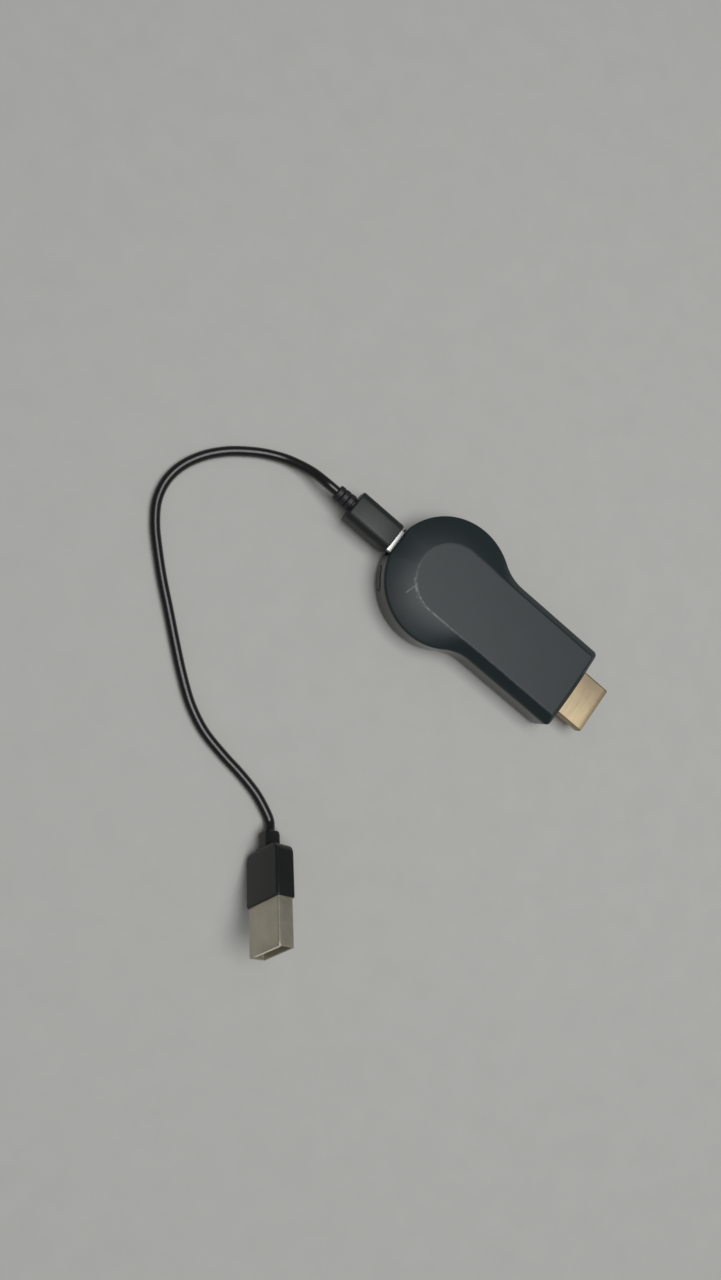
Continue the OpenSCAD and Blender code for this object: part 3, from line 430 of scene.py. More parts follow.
HEAD_TURNS, NECK_TURNS = spaced(60, math.pi, NECK_A), spaced(20, math.pi + NECK_A, 1.5 * math.pi)
STEPS_STEM, STEPS_CORNER, STEPS_END = 10, 8, 8
print("length with the video plug, mm:", TOTAL_L - PORT_FLAT, "- the neck ends at x =", round(NECK_X, 2))

# %% Outlines of the body
def stem_end(last, side, turn):
    """The rounded corner and the slightly bowed end of the stem, on the +Y side."""
    square, straight = last - turn, side - turn
    corner = [(square + turn * math.cos(a), straight + turn * math.sin(a))
              for a in spaced(STEPS_CORNER, math.pi / 2, 0)]
    ys = [straight * (1 - i / STEPS_END) for i in range(STEPS_END + 1)]
    return corner + [(last + END_BOW * (1 - (y / straight) ** 2), y) for y in ys]


def mirrored(half):
    """A whole outline from its half on the +Y side."""
    return half + [(x, -y) for x, y in half[-2:0:-1]]


def rim(inset=0.0):
    """The keyhole outline, drawn in by inset, with the flat that is cut for the power socket."""
    r, side, hollow = HEAD_R - inset, STEM_W / 2 - inset, NECK_R + inset
    flat = RIM_X + PORT_FLAT + min(inset, GROOVE)
    turn = max(CORNER_R - inset, GROOVE)
    head = [(max(HEAD_X + r * math.cos(a), flat), r * math.sin(a)) for a in HEAD_TURNS]
    neck = [(NECK_X + hollow * math.cos(a), STEM_W / 2 + NECK_R + hollow * math.sin(a)) for a in NECK_TURNS]
    stem = [(x, side) for x in spaced(STEPS_STEM, NECK_X, END_X - inset - turn)]
    return mirrored(head + neck + stem + stem_end(END_X - inset, side, turn))


def flat_top(inset=0.0):
    """The outline of the raised flat top, point for point beside the keyhole's."""
    r, last = PLATEAU_R - inset, END_X - END_SLOPE - inset
    head = [(HEAD_X + r * math.cos(a), r * math.sin(a)) if a > math.pi / 2
            else (HEAD_X + HEAD_R * math.cos(a), r) for a in HEAD_TURNS]
    neck = [(NECK_X + NECK_R * math.cos(a), r) for a in NECK_TURNS]
    stem = [(x, r) for x in spaced(STEPS_STEM, NECK_X, last - EDGE)]
    return mirrored(head + neck + stem + stem_end(last, r, EDGE))


print("points in an outline:", len(rim()), len(flat_top()))

# %% [markdown]
# ## Upper cover
# The upper cover is moulded in ABS with a fine spark texture. Above the seam it has a narrow
# upright band, then a slope with a slight swell, and a flat top with an eased edge.
# The slope runs from each point of the rim to its partner on the flat top, so a height
# and a run in from the rim are enough to place a ring of the skin.

# %% Slope of the upper cover
BAND_Z = SEAM_Z + RIM_BAND
LONGEST = HEAD_R - PLATEAU_R


def slope_z(run, length):
    """Height of the slope at a run in from the rim, where the slope has that length."""
    share = run / length
    return BAND_Z + (BODY_H - BAND_Z) * share + SWELL * length / LONGEST * 4 * share * (1 - share)


def shoulder(rims, tops, place):
    """A ring on the shoulder: place(length) gives the run in from the rim, and the height."""
    out = []
    for a, b in zip(rims, tops):
        length = math.dist(a, b)
        run, z = place(length)
        out.append((a[0] + (b[0] - a[0]) * run / length, a[1] + (b[1] - a[1]) * run / length, z))
    return out


print("height half way up the head's slope, mm:", round(slope_z(LONGEST / 2, LONGEST), 2))

# %% [markdown]
# The skin goes from the ceiling down inside the lip, out over the seam, up the slope and over
# the ridge. Each point also stores how near it is to the ridge, where a painted highlight lies.

# %% Upper cover
rims, tops = rim(), flat_top()
lip_out, lip_in = WALL + SLIP, WALL + SLIP + LIP_T
rings = [level(flat_top(ROOF / 2), BODY_H - ROOF)]
rings += [level(rim(inset), z) for inset, z in (
    (lip_in, SEAM_Z), (lip_in, SEAM_Z - LIP_H), (lip_out, SEAM_Z - LIP_H), (lip_out, SEAM_Z),
    (GROOVE, SEAM_Z), (GROOVE_EASE, SEAM_Z + GROOVE_EASE), (0, SEAM_Z + GROOVE))]
for s in (0, 0.25, 0.5, 0.75, 1):
    rings.append(shoulder(rims, tops, lambda length: (
        EDGE * s * s, BAND_Z - EDGE * (1 - s) ** 2 + (slope_z(EDGE, length) - BAND_Z) * s * s)))
for s in (0.05, 0.2, 0.4, 0.6, 0.8, 0.95):
    rings.append(shoulder(rims, tops, lambda length: (
        EDGE + (length - 2 * EDGE) * s, slope_z(EDGE + (length - 2 * EDGE) * s, length))))
edge_share = [0.0] * len(rings)
for s in (0, 0.17, 0.33, 0.5, 0.67, 0.83, 1):
    rings.append(shoulder(rims, tops, lambda length: (
        length - EDGE * (1 - s) ** 2 + EDGE * s * s,
        BODY_H - (BODY_H - slope_z(length - EDGE, length)) * (1 - s) ** 2)))
    edge_share.append(1 - abs(2 * s - 1))
rings.append(shoulder(rims, tops, lambda length: (length + 1.4 * EDGE, BODY_H)))
edge_share.append(0.0)

upper_cover = solid("matt_upper_cover", skin(rings))
edge = upper_cover.data.attributes.new("edge", "FLOAT", "POINT")
edge.data.foreach_set("value", [share for share in edge_share for p in rims])
print("rings in the upper cover:", len(rings))

# %% [markdown]
# Inside, two posts press on the board, two ribs on the heat spreader and one on the video plug.
# Four tabs with small nubs clip into the lower cover, so the stick has no screws.

# %% Inside of the upper cover
BOARD_LOW, BOARD_TOP, SPREADER_TOP, CEILING = 4.95, 5.75, 8.95, BODY_H - ROOF / 2
HEAD_POST, HEAD_POST_R, POST_TOP, RIB_T = (-22.6726, 11.4642), 1.3, 10.0, 1.2
SPREADER_RIBS, SPREADER_W, CLAMP_X, CLAMP_W = (-2.4, 8.6), 16.4, 20.5, 9.26
VIDEO_Z, VIDEO_W, VIDEO_H, VIDEO_CUT = 5.35, 13.9, 4.45, (1.75, 1.6)
TAB_X, TAB_Y, TAB_LOW = (2.334, 23.2), 10.9, SEAM_Z - 3.2
TAB_W, TAB_T, NUB_OUT, NUB_H = 3.0, 0.8, 0.4, 0.8


def rib(x, width, low, high):
    """A rib across the stick, between two heights."""
    return block((x - RIB_T / 2, -width / 2, low), (x + RIB_T / 2, width / 2, high))


inside = [post(HEAD_POST[0], side * HEAD_POST[1], HEAD_POST_R, BOARD_TOP, POST_TOP) for side in SIDES]
inside += [rib(x, SPREADER_W, SPREADER_TOP, CEILING) for x in SPREADER_RIBS]
inside += [rib(CLAMP_X, CLAMP_W, VIDEO_Z + VIDEO_H / 2, CEILING)]
for x in TAB_X:
    for side in SIDES:
        foot = (x - TAB_W / 2, side * (TAB_Y - TAB_T), TAB_LOW)
        inside += [block(foot, (x + TAB_W / 2, side * TAB_Y, BAND_Z)),
                   block(foot, (x + TAB_W / 2, side * (TAB_Y + NUB_OUT), TAB_LOW + NUB_H))]
join_in(upper_cover, inside)

# %% [markdown]
# ## Finish of the upper cover
# Spark texture is a fine, even roughness. It makes dark plastic look slate grey under a lamp,
# because every small facet mirrors a little light. A pale line painted along the ridge of the flat
# top, strongest on the -Y side of the head, is a painted highlight. A few scuffs are real marks.
# The real grain is about 0.1 mm, too fine to show, so it is drawn at 0.3 mm.

# %% Scuffs and layers
def stroke(tree, place, start, end, width):
    """1 on a straight scuff between two places in mm, seen from above, fading to 0 at its sides."""
    a, b = Vector(start).to_3d() * MM, Vector(end).to_3d() * MM
    flat = add(tree, "ShaderNodeVectorMath", {0: place, 1: (1, 1, 0)}, operation="MULTIPLY")
    gap = add(tree, "ShaderNodeVectorMath", {0: flat, 1: a}, operation="SUBTRACT")
    run = add(tree, "ShaderNodeVectorMath", {0: gap, 1: (b - a) / (b - a).length_squared}, "Value",
              operation="DOT_PRODUCT")
    share = add(tree, "ShaderNodeClamp", {"Value": run})
    along = add(tree, "ShaderNodeVectorMath", {0: b - a, "Scale": share}, operation="SCALE")
    off = add(tree, "ShaderNodeVectorMath", {0: gap, 1: along}, "Value", operation="DISTANCE")
    return add(tree, "ShaderNodeMapRange", {
        "Value": off, "From Max": width * MM, "To Min": 1.0, "To Max": 0.0}, interpolation_type="SMOOTHSTEP")


def mix_in(tree, mask, colour, roughness):
    """Lays a colour and a roughness over what the shader has, where the mask is 1."""
    shader = tree.nodes["Principled BSDF"]
    for socket, value, kind, a, b, out in (("Base Color", linear(colour), "RGBA", 6, 7, 2),
                                           ("Roughness", roughness, "FLOAT", 2, 3, 0)):
        before = shader.inputs[socket].links[0].from_socket
        mixed = add(tree, "ShaderNodeMix", {0: mask, a: before, b: value}, out, data_type=kind)
        tree.links.new(mixed, shader.inputs[socket])


SCUFFS = [((-26.9, -5.9), (-24.9, -7.9), 0.35), ((-25.6, -7.2), (-26.3, -9.9), 0.35),
          ((-24.9, -7.9), (-23.4, -9.4), 0.25)]
print("scuffs:", len(SCUFFS))

# %% Finish of the upper cover
HIGHLIGHT_SHARE, SCUFFED = 0.75, 0.5
cover_abs = finish("ABS, moulded with spark texture, slate", "#101D20", 0.48, grain=0.3, depth=0.012,
                   wander=0.1)
tree = cover_abs.node_tree
place = add(tree, "ShaderNodeTexCoord", out="Object")
marks = 0.0
for start, end, width in SCUFFS:
    mark = stroke(tree, place, start, end, width)
    marks = add(tree, "ShaderNodeMath", {0: marks, 1: mark}, operation="MAXIMUM")
patchy = add(tree, "ShaderNodeTexNoise", {
    "Vector": place, "Scale": 1 / (1.3 * MM), "Detail": 4.0, "Roughness": 0.7}, "Fac")
patchy = add(tree, "ShaderNodeMapRange", {"Value": patchy, "From Min": 0.35, "From Max": 0.65})
axes = add(tree, "ShaderNodeSeparateXYZ", {0: place}, None)
# Painted highlight: a pale line on the eased ridge of the flat top, strongest on the -Y side of the head.
highlight_side = add(tree, "ShaderNodeMapRange", {
    "Value": axes["Y"], "From Min": -1 * MM, "From Max": -9.5 * MM, "To Min": 0.12})
highlight_run = add(tree, "ShaderNodeMapRange", {
    "Value": axes["X"], "From Min": -6 * MM, "From Max": -20 * MM, "To Min": 0.2})
ridge_highlight = add(tree, "ShaderNodeAttribute", out="Fac", attribute_name="edge")
for factor in (highlight_side, highlight_run, patchy, HIGHLIGHT_SHARE):
    ridge_highlight = add(tree, "ShaderNodeMath", {0: ridge_highlight, 1: factor}, operation="MULTIPLY")
for factor in (patchy, SCUFFED):
    marks = add(tree, "ShaderNodeMath", {0: marks, 1: factor}, operation="MULTIPLY")
# This mask holds both the painted highlight on the ridge and the real scuffs.
worn = add(tree, "ShaderNodeMath", {0: ridge_highlight, 1: marks}, operation="MAXIMUM")
mix_in(tree, worn, "#8E9294", 0.4)
dress(upper_cover, cover_abs, "stick", "upper_cover_plastic", "upper_cover", sharp=40)

# %% [markdown]
# ## Lower cover
# The lower cover is a polished tray with a well rounded foot. Four openings go through its
# wall: a slot for the video plug, one for the power socket, one for the button and a small
# hole for the light. They are cut with solids whose outer ends are flared, which breaks the
# edges. Four pockets take the nubs of the upper cover's tabs.

# %% Tray of the lower cover
inner_foot = FOOT_R - WALL
arc = [math.radians(a) for a in range(0, 91, 9)]
profile = [(FOOT_R + FOOT_FLAT, 0)]
profile += [(FOOT_R * (1 - math.sin(a)), FOOT_R * (1 - math.cos(a))) for a in arc]
profile += [(0, z) for z in (3.4, 4.2, 5.0, 5.8, 6.6, 7.4, SEAM_Z - 0.7, SEAM_Z - GROOVE)]
profile += [(GROOVE_EASE, SEAM_Z - GROOVE_EASE), (GROOVE, SEAM_Z), (WALL, SEAM_Z)]
profile += [(WALL + inner_foot * (1 - math.sin(a)), FLOOR_T + inner_foot * (1 - math.cos(a)))
            for a in arc[::-3]]
lower_cover = solid("glossy_lower_cover", skin([level(rim(inset), z) for inset, z in profile]))
print("rings in the lower cover:", len(profile))

# %% Openings and pockets
PORT_Z, PORT_W, PORT_H, CUTTER_IN, POCKET_DEPTH = 6.1, 8.9, 3.05, 3.0, 0.65
BUTTON_Z, BUTTON_A, BUTTON_W, BUTTON_H = 4.15, math.radians(214), 6.6, 2.8
LIGHT_Z, LIGHT_A, LIGHT_R = 6.1, math.pi - math.asin(7.7 / HEAD_R), 0.6


def out_of_head(angle, z):
    """Matrix that puts +X out of the head's rim at an angle, at a height in mm."""
    return Matrix.Translation((HEAD_X * MM, 0, z * MM)) @ Matrix.Rotation(angle, 4, "Z")


def cutter(narrow, wide, wall, starts, ends, z=0.0, place=None):
    """A cutter that goes out through a wall's face and flares from starts to ends beyond it."""
    return solid("cutter", skin([across(narrow, wall - CUTTER_IN, z), across(narrow, wall + starts, z),
                                 across(wide, wall + ends, z)]), place)


video_slot = [rounded(slanted(VIDEO_W, VIDEO_H, *VIDEO_CUT, -room), radius)
              for room, radius in ((0.15, 0.5), (0.55, 0.7))]
port_slot = [stadium(PORT_W, PORT_H, -room) for room in (0, 0.4)]
button_slot = [stadium(BUTTON_W, BUTTON_H, -room) for room in (0.15, 0.45)]
light_hole = [circle(LIGHT_R + room) for room in (0, 0.15)]
cutters = [cutter(*video_slot, END_X, 0.05, 0.6, VIDEO_Z),
           cutter(*port_slot, HEAD_R - PORT_FLAT, -0.3, 0.3, place=out_of_head(math.pi, PORT_Z)),
           cutter(*button_slot, HEAD_R, -0.35, 0.3, place=out_of_head(BUTTON_A, BUTTON_Z)),
           cutter(*light_hole, HEAD_R, -0.1, 0.1, place=out_of_head(LIGHT_A, LIGHT_Z))]
for x in TAB_X:
    for side in SIDES:
        pocket = block((x - TAB_W / 2 - SLIP, side * (TAB_Y - SLIP), TAB_LOW - SLIP),
                       (x + TAB_W / 2 + SLIP, side * (TAB_Y + POCKET_DEPTH), TAB_LOW + NUB_H + SLIP))
        cutters.append(solid("pocket", pocket))
print("openings and pockets:", len(cutters))
cut(lower_cover, *cutters)

# %% Inside of the lower cover
STEM_POST, STEM_POST_R, PIN_R, POST_LOW = (16.1, 8.1), 1.1, 0.6, FLOOR_T / 2
SOCKET_REST_X, SOCKET_REST_W, SOCKET_LOW = -30.95, 4.6, 4.875
POSTS = ((HEAD_POST, HEAD_POST_R, BOARD_LOW), (STEM_POST, STEM_POST_R, BOARD_LOW),
         (HEAD_POST, PIN_R, BOARD_TOP))
inside = [post(x, side * y, radius, POST_LOW, high) for (x, y), radius, high in POSTS for side in SIDES]
inside += [rib(CLAMP_X, CLAMP_W, POST_LOW, VIDEO_Z - VIDEO_H / 2),
           rib(SOCKET_REST_X, SOCKET_REST_W, POST_LOW, SOCKET_LOW)]
join_in(lower_cover, inside)

# %% [markdown]
# The lower cover is the same ABS, but moulded in a polished tool, so it mirrors the table.
# Such a surface is never perfect for long: hair-thin scratches cross it in all directions.
# They are drawn out noise, turned a few ways, that changes only the colour and the roughness.

# %% Finish of the lower cover
HAIR_SHARE = 0.35
gloss_abs = finish("ABS, moulded and polished, black", "#0E0E0F", 0.15, grain=1.5, depth=0.0025, wander=0.25,
                   Specular_IOR_Level=0.42, Coat_Weight=0.12, Coat_Roughness=0.05)
tree = gloss_abs.node_tree
place = add(tree, "ShaderNodeTexCoord", out="Object")
hairs = 0.0
for turn, size in ((25, 0.25), (-50, 0.3), (80, 0.22)):
    drawn = add(tree, "ShaderNodeMapping", {
        "Vector": place, "Rotation": (0.3, 0.2, math.radians(turn)), "Scale": (0.03, 1, 1)})
    lines = add(tree, "ShaderNodeTexNoise", {"Vector": drawn, "Scale": 1 / (size * MM), "Detail": 2.0}, "Fac")
    thin = add(tree, "ShaderNodeMapRange", {"Value": lines, "From Min": 0.66, "From Max": 0.72})
    hairs = add(tree, "ShaderNodeMath", {0: hairs, 1: thin}, operation="MAXIMUM")
hairs = add(tree, "ShaderNodeMath", {0: hairs, 1: HAIR_SHARE}, operation="MULTIPLY")
mix_in(tree, hairs, "#3A3A3B", 0.4)
dress(lower_cover, gloss_abs, "stick", "lower_cover_plastic", "lower_cover", sharp=30)

# %% [markdown]
# ## Reset button and light
# The button is a small bar with round ends that fills its opening. Its face follows the
# curve of the head, and a wider flange behind the wall keeps it from falling out. It is ABS,
# a little less glossy than the cover, because fingers press it.

# %% Reset button
BUTTON_FACE, BUTTON_EDGE, BUTTON_BACK, WALL_BACK = HEAD_R + 0.15, 0.35, 15.45, 16.1
FLANGE_W, FLANGE_H = 8.2, 2.4


def on_head(outline, r):
    """An outline in Y and Z laid on an upright cylinder of radius r."""
    return [(math.sqrt(r * r - y * y), y, h) for y, h in outline]


rings = [on_head(stadium(FLANGE_W, FLANGE_H, inset), BUTTON_BACK) for inset in (1.15, 0.6, 0)]
rings += [on_head(stadium(FLANGE_W, FLANGE_H), WALL_BACK), on_head(stadium(BUTTON_W, BUTTON_H), WALL_BACK)]
rings += [on_head(stadium(BUTTON_W, BUTTON_H, BUTTON_EDGE * (1 - math.cos(a))),
                  BUTTON_FACE - BUTTON_EDGE * (1 - math.sin(a)))
          for a in (math.radians(b) for b in (0, 30, 60, 90))]
rings += [on_head(stadium(BUTTON_W, BUTTON_H, inset), BUTTON_FACE) for inset in (0.6, 0.9, 1.15, 1.35)]
button = solid("reset_button_cap", skin(rings), out_of_head(BUTTON_A, BUTTON_Z))
button_abs = finish("ABS, moulded, satin black button", "#161617", 0.3, grain=0.4, depth=0.004)
dress(button, button_abs, "button", "button_plastic", "reset_button", sharp=50)

# %% [markdown]
# The light pipe is a clear acrylic pin with a collar. It carries the light of a tiny lamp on the
# board to the rim, beside the power socket. Its end is frosted, so that it glows evenly,
# and the material lets most of the light through.

# %% Light pipe
LIGHT_STEPS = ((0.6, 14.95), (0.6, 15.5), (0.95, 15.5), (0.95, 16.1), (0.6, 16.1), (0.6, 17.2), (0.52, 17.3),
               (0.3, 17.34))
light = solid("light_window", skin([across(circle(r), x) for r, x in LIGHT_STEPS]),
              out_of_head(LIGHT_A, LIGHT_Z))
light_acrylic = finish("Acrylic, moulded, frosted clear", "#E8ECEC", 0.25, grain=0.15, depth=0.004, IOR=1.49,
                       Transmission_Weight=0.85)
dress(light, light_acrylic, "stick", "clear_plastic", "light_pipe", sharp=40)

# %% [markdown]
# ## Video plug
# The shell of the plug is folded from steel sheet and flashed with a thin, pale gold. Rounded
# bends, a mouth that is turned over a little and two latch windows below make it read as sheet.
# The flash is satin, with faint rolling lines along the plug.

# %% Video plug shell
plug_tip = END_X + VIDEO_OUT
outer = rounded(slanted(VIDEO_W, VIDEO_H, *VIDEO_CUT), 0.55)
inner = rounded(slanted(VIDEO_W, VIDEO_H, *VIDEO_CUT, 0.35), 0.3)
video_shell = solid("video_plug_shell", tube_of_sheet(outer, inner, END_X - 8, plug_tip, 0.22, VIDEO_Z))
cut(video_shell, *latch_windows(plug_tip - 5.6, 2.8, 1.9, 2.4, 0.2, VIDEO_Z - 2.7, VIDEO_Z - 1.8))
gold_steel = finish("Steel sheet, flashed with pale gold, satin", "#B3A283", 0.5, grain=0.5, depth=0.002,
                    metallic=1.0, stretch=(1, 0.08, 1), wander=0.15, second="#A1927A")
dress(video_shell, gold_steel, "stick", "video_metal", "video_shell")

# %% [markdown]
# ## Rules as node trees
# Rows and ribs repeat, so Geometry Nodes make them from one strip or one rule. A tree gets
# named inputs for its sizes. It runs once, and the piece keeps the plain mesh that comes out.

# %% Geometry Nodes helpers
def new_tree(name, inputs):
    """A tree with named inputs. Gives the tree, its input sockets, and each one's identifier and value."""
    tree = bpy.data.node_groups.new(name, "GeometryNodeTree")
    tree.interface.new_socket("Geometry", in_out="OUTPUT", socket_type="NodeSocketGeometry")
    values = []
    for label, (kind, value) in inputs.items():
        socket = tree.interface.new_socket(label, in_out="INPUT", socket_type="NodeSocket" + kind)
        values.append((socket.identifier, value))
    return tree, add(tree, "NodeGroupInput", out=None), values


def grow(name, tree, values, shape, material):
    """Ends the tree with its shape and a material, runs it once and keeps the mesh."""
    real = add(tree, "GeometryNodeRealizeInstances", {"Geometry": shape})
    painted = add(tree, "GeometryNodeSetMaterial", {"Geometry": real, "Material": material})
    add(tree, "NodeGroupOutput", {"Geometry": painted}, None)
    piece = bpy.data.objects.new(name, bpy.data.meshes.new(name))
    bpy.context.scene.collection.objects.link(piece)
    rule = piece.modifiers.new("rule", "NODES")
    rule.node_group = tree
    for identifier, value in values:
        rule[identifier] = value
    return bake_modifiers(piece)


print("trees so far:", len(bpy.data.node_groups))

# %% [markdown]
# Inside the video plug, 19 contacts lie in two rows, 1 mm apart. Each is a strip of copper
# alloy with rounded corners, swept along a short line. Gold keeps it from tarnishing,
# so it is the brightest and warmest metal here.

# %% Rows of contacts
BLADE, BLADE_CORNER = (13.4, 0.45, 0.16), 0.03


def contact_rows(name, material, first, count, pitch, size):
    """A row of flat strips along Y. first is the middle of the first one; the sizes are in mm."""
    tree, given, values = new_tree(name, {
        "Count": ("Int", count), "Pitch": ("Float", pitch * MM), "Length": ("Float", size[0] * MM),
        "Width": ("Float", size[1] * MM), "Height": ("Float", size[2] * MM),
        "First": ("Vector", tuple(v * MM for v in first))})
    step = add(tree, "ShaderNodeCombineXYZ", {1: given["Pitch"]})
    places = add(tree, "GeometryNodeMeshLine", {
        "Count": given["Count"], "Start Location": given["First"], "Offset": step}, mode="OFFSET")
    half = add(tree, "ShaderNodeMath", {0: given["Length"], 1: 0.5}, operation="MULTIPLY")
    tip = add(tree, "ShaderNodeCombineXYZ", {0: half})
    back = add(tree, "ShaderNodeVectorMath", {0: tip, "Scale": -1.0}, operation="SCALE")
    wire = add(tree, "GeometryNodeCurvePrimitiveLine", {"Start": back, "End": tip})
    blade = add(tree, "GeometryNodeCurvePrimitiveQuadrilateral", {
        "Width": given["Width"], "Height": given["Height"]})
    blade = add(tree, "GeometryNodeFilletCurve", {
        "Curve": blade, "Radius": BLADE_CORNER * MM, "Count": 2}, mode="POLY")
    strip = add(tree, "GeometryNodeCurveToMesh", {"Curve": wire, "Profile Curve": blade, "Fill Caps": True})
    row = add(tree, "GeometryNodeInstanceOnPoints", {"Points": places, "Instance": strip})
    return grow(name, tree, values, row, material)


contact_gold = finish("Copper alloy, gold plated", "#D9B45F", 0.22, grain=0.3, depth=0.001, metallic=1.0)
upper_row = contact_rows("video_contacts_upper", contact_gold, (27.7, -4.5, 6.475), 10, 1, BLADE)
lower_row = contact_rows("video_contacts_lower", contact_gold, (27.7, -4, 4.225), 9, 1, BLADE)
dress(upper_row, contact_gold, "stick", "gold_contacts")
dress(lower_row, contact_gold, "stick", "gold_contacts", "video_contacts")

# %% [markdown]
# ## Small power plug
# The small plug is moulded over a nickel-plated shell, of which a bright strip shows in front
# of the head. Its grip is a chunky block with well rounded corners along its length and eased
# ends. Fine texture on dark PVC gives the same soft grey sheen as on the cover.

# %% Small plug: shell
GRIP_X, GRIP_L, GRIP_W, GRIP_H, GRIP_CORNER = RIM_X + PORT_FLAT - 1.2, 13.5, 8.5, 7.0, 2.2
SHELL_BACK, SHELL_TIP = GRIP_X - 4, RIM_X + WALL / 2 + 4.8
outer = rounded(slanted(6.85, 1.8, 0.88, 0.68), 0.3)
inner = rounded(slanted(6.85, 1.8, 0.88, 0.68, 0.25), 0.12)
small_shell = solid("small_plug_shell", tube_of_sheet(outer, inner, SHELL_BACK, SHELL_TIP, 0.15, PORT_Z))
nickel = finish("Steel sheet, bright nickel plated", "#BEBEBC", 0.42, grain=0.6, depth=0.0004, metallic=1.0,
                stretch=(1, 0.1, 1), wander=0.08)
dress(small_shell, nickel, "cable", "plug_metal", "plug_shell")

# %% Small plug: grip
grip_back = GRIP_X - GRIP_L
GRIP_RINGS = ((grip_back, 0.3), (grip_back + 0.08, 0.17), (grip_back + 0.22, 0.06), (grip_back + 0.4, 0),
              (GRIP_X - 6, 0), (GRIP_X - 0.3, 0), (GRIP_X - 0.1, 0.08), (GRIP_X, 0.25))
grip = solid("small_plug_grip", skin([
    across(rounded(box(GRIP_W - 2 * inset, GRIP_H - 2 * inset), GRIP_CORNER - inset, 8), x, PORT_Z)
    for x, inset in GRIP_RINGS]))
cut(grip, solid("shell_room", skin([across(outer, x, PORT_Z) for x in (SHELL_BACK, GRIP_X + 1)])))
grip_pvc = finish("PVC, overmoulded with fine texture, charcoal", "#151A19", 0.48, grain=0.28, depth=0.008)
dress(grip, grip_pvc, "cable", "plug_grip_plastic", "plug_grip", sharp=25)

# %% [markdown]
# ## Ribbed sleeve
# Behind the grip a softer sleeve of TPE keeps the cord from kinking: a neck, then three ribs
# that get smaller. That is a rule along a line, so a node tree makes it: a straight curve,
# swept with a circle whose scale follows the ribs. The rubber is duller than the plastics.

# %% Sleeve with Geometry Nodes
RIB_SQUARE, SLEEVE_POINTS, SLEEVE_SIDES = 6.0, 141, 40


def ribbed_sleeve(name, material, start, end, ribs, neck_share, rib_r, neck_r, taper):
    """A sleeve along a line, in metres: a neck, then ribs that shrink by taper from first to last."""
    tree, given, values = new_tree(name, {
        "Start": ("Vector", start), "End": ("Vector", end), "Ribs": ("Float", ribs),
        "Neck share": ("Float", neck_share), "Rib radius": ("Float", rib_r), "Neck radius": ("Float", neck_r),
        "Taper": ("Float", taper)})
    axis = add(tree, "GeometryNodeCurvePrimitiveLine", {"Start": given["Start"], "End": given["End"]})
    axis = add(tree, "GeometryNodeResampleCurve", {"Curve": axis, "Count": SLEEVE_POINTS})
    share = add(tree, "GeometryNodeSplineParameter", out="Factor")
    along = add(tree, "ShaderNodeMapRange", {"Value": share, "From Min": given["Neck share"]})
    place = add(tree, "ShaderNodeMath", {0: along, 1: given["Ribs"]}, operation="MULTIPLY")
    inward = add(tree, "ShaderNodeMath", {0: place, 1: 0.5}, operation="PINGPONG")
    valley = add(tree, "ShaderNodeMapRange", {"Value": inward, "From Max": 0.5, "To Min": 1.0, "To Max": 0.0})
    valley = add(tree, "ShaderNodeMath", {0: valley, 1: RIB_SQUARE}, operation="POWER")
    radius = add(tree, "ShaderNodeMapRange", {
        "Value": valley, "To Min": given["Rib radius"], "To Max": given["Neck radius"]})
    drop = add(tree, "ShaderNodeMath", {0: given["Taper"], 1: along}, operation="MULTIPLY")
    radius = add(tree, "ShaderNodeMath", {0: radius, 1: drop}, operation="SUBTRACT")
    ring = add(tree, "GeometryNodeCurvePrimitiveCircle", {"Resolution": SLEEVE_SIDES, "Radius": 1.0})
    swept = add(tree, "GeometryNodeCurveToMesh", {
        "Curve": axis, "Profile Curve": ring, "Scale": radius, "Fill Caps": True})
    return grow(name, tree, values, swept, material)


sleeve_rubber = finish("TPE, overmoulded, satin black", "#18161A", 0.52, grain=0.3, depth=0.004)
sleeve = ribbed_sleeve("cable_sleeve", sleeve_rubber, (grip_back * MM, 0, PORT_Z * MM), CORD_EXIT, ribs=3.0,
                       neck_share=0.093, rib_r=0.0023, neck_r=0.002, taper=0.0002)
dress(sleeve, sleeve_rubber, "cable", "sleeve_rubber", "plug_sleeve", sharp=50)

# %% [markdown]
# ## Large power plug
# The large plug rests on a lower corner of its grip, rolled to one side, with its tip up in
# the air. It is built lying along X and then put in place by one matrix, the same turn as
# in the CAD source. Its grip is smooth, near-black PVC with round shoulders and narrow
# bevels, and a short collar holds the cord.

# %% Large plug: grip and collar
LARGE = (Matrix.Translation(PLUG_PLACE) @ Matrix.Rotation(PLUG_TURN, 4, "Z")
         @ Matrix.Rotation(-PLUG_RISE, 4, "Y") @ Matrix.Rotation(PLUG_ROLL, 4, "X"))
L_GRIP, L_GRIP_W, L_GRIP_H, L_BEVEL, L_SHOULDER = 13.5, 12.8, 5.5, 0.5, 2.5
L_SHELL, L_SHELL_W, L_SHELL_H, L_SHELL_T, L_SHELL_BACK = 11.8, 12, 4.5, 0.3, -6
# How far in from the back of the grip each section lies, and how much smaller it is
L_RUNS = ((0, 0.7), (0.06, 0.4), (0.25, 0.15), (0.6, 0), (1, 0), (1.5, 0), (2, 0), (2.5, 0), (8, 0),
          (13.2, 0), (13.4, 0.1), (13.5, 0.3))
# How far behind the grip each section of the collar lies, its width, height and bevel
COLLAR_RUNS = ((4.5, 3.6, 3.4, 0.7), (4.4, 4.1, 3.9, 0.85), (4.15, 4.45, 4.25, 0.9), (3.8, 4.6, 4.4, 0.9),
               (0, 4.6, 4.4, 0.9))


def bar(ends, roundness):
    """A bar through bevelled sections: each is X, width, height and bevel."""
    return skin([across(rounded(bevelled(w, h, bevel), roundness), x) for x, w, h, bevel in ends])


def shoulder_width(run):
    """Width of the grip at a distance in from its back, with its round shoulders."""
    r = L_SHOULDER
    return L_GRIP_W - 2 * (r - math.sqrt(max(0.0, r * r - (r - min(run, r)) ** 2)))


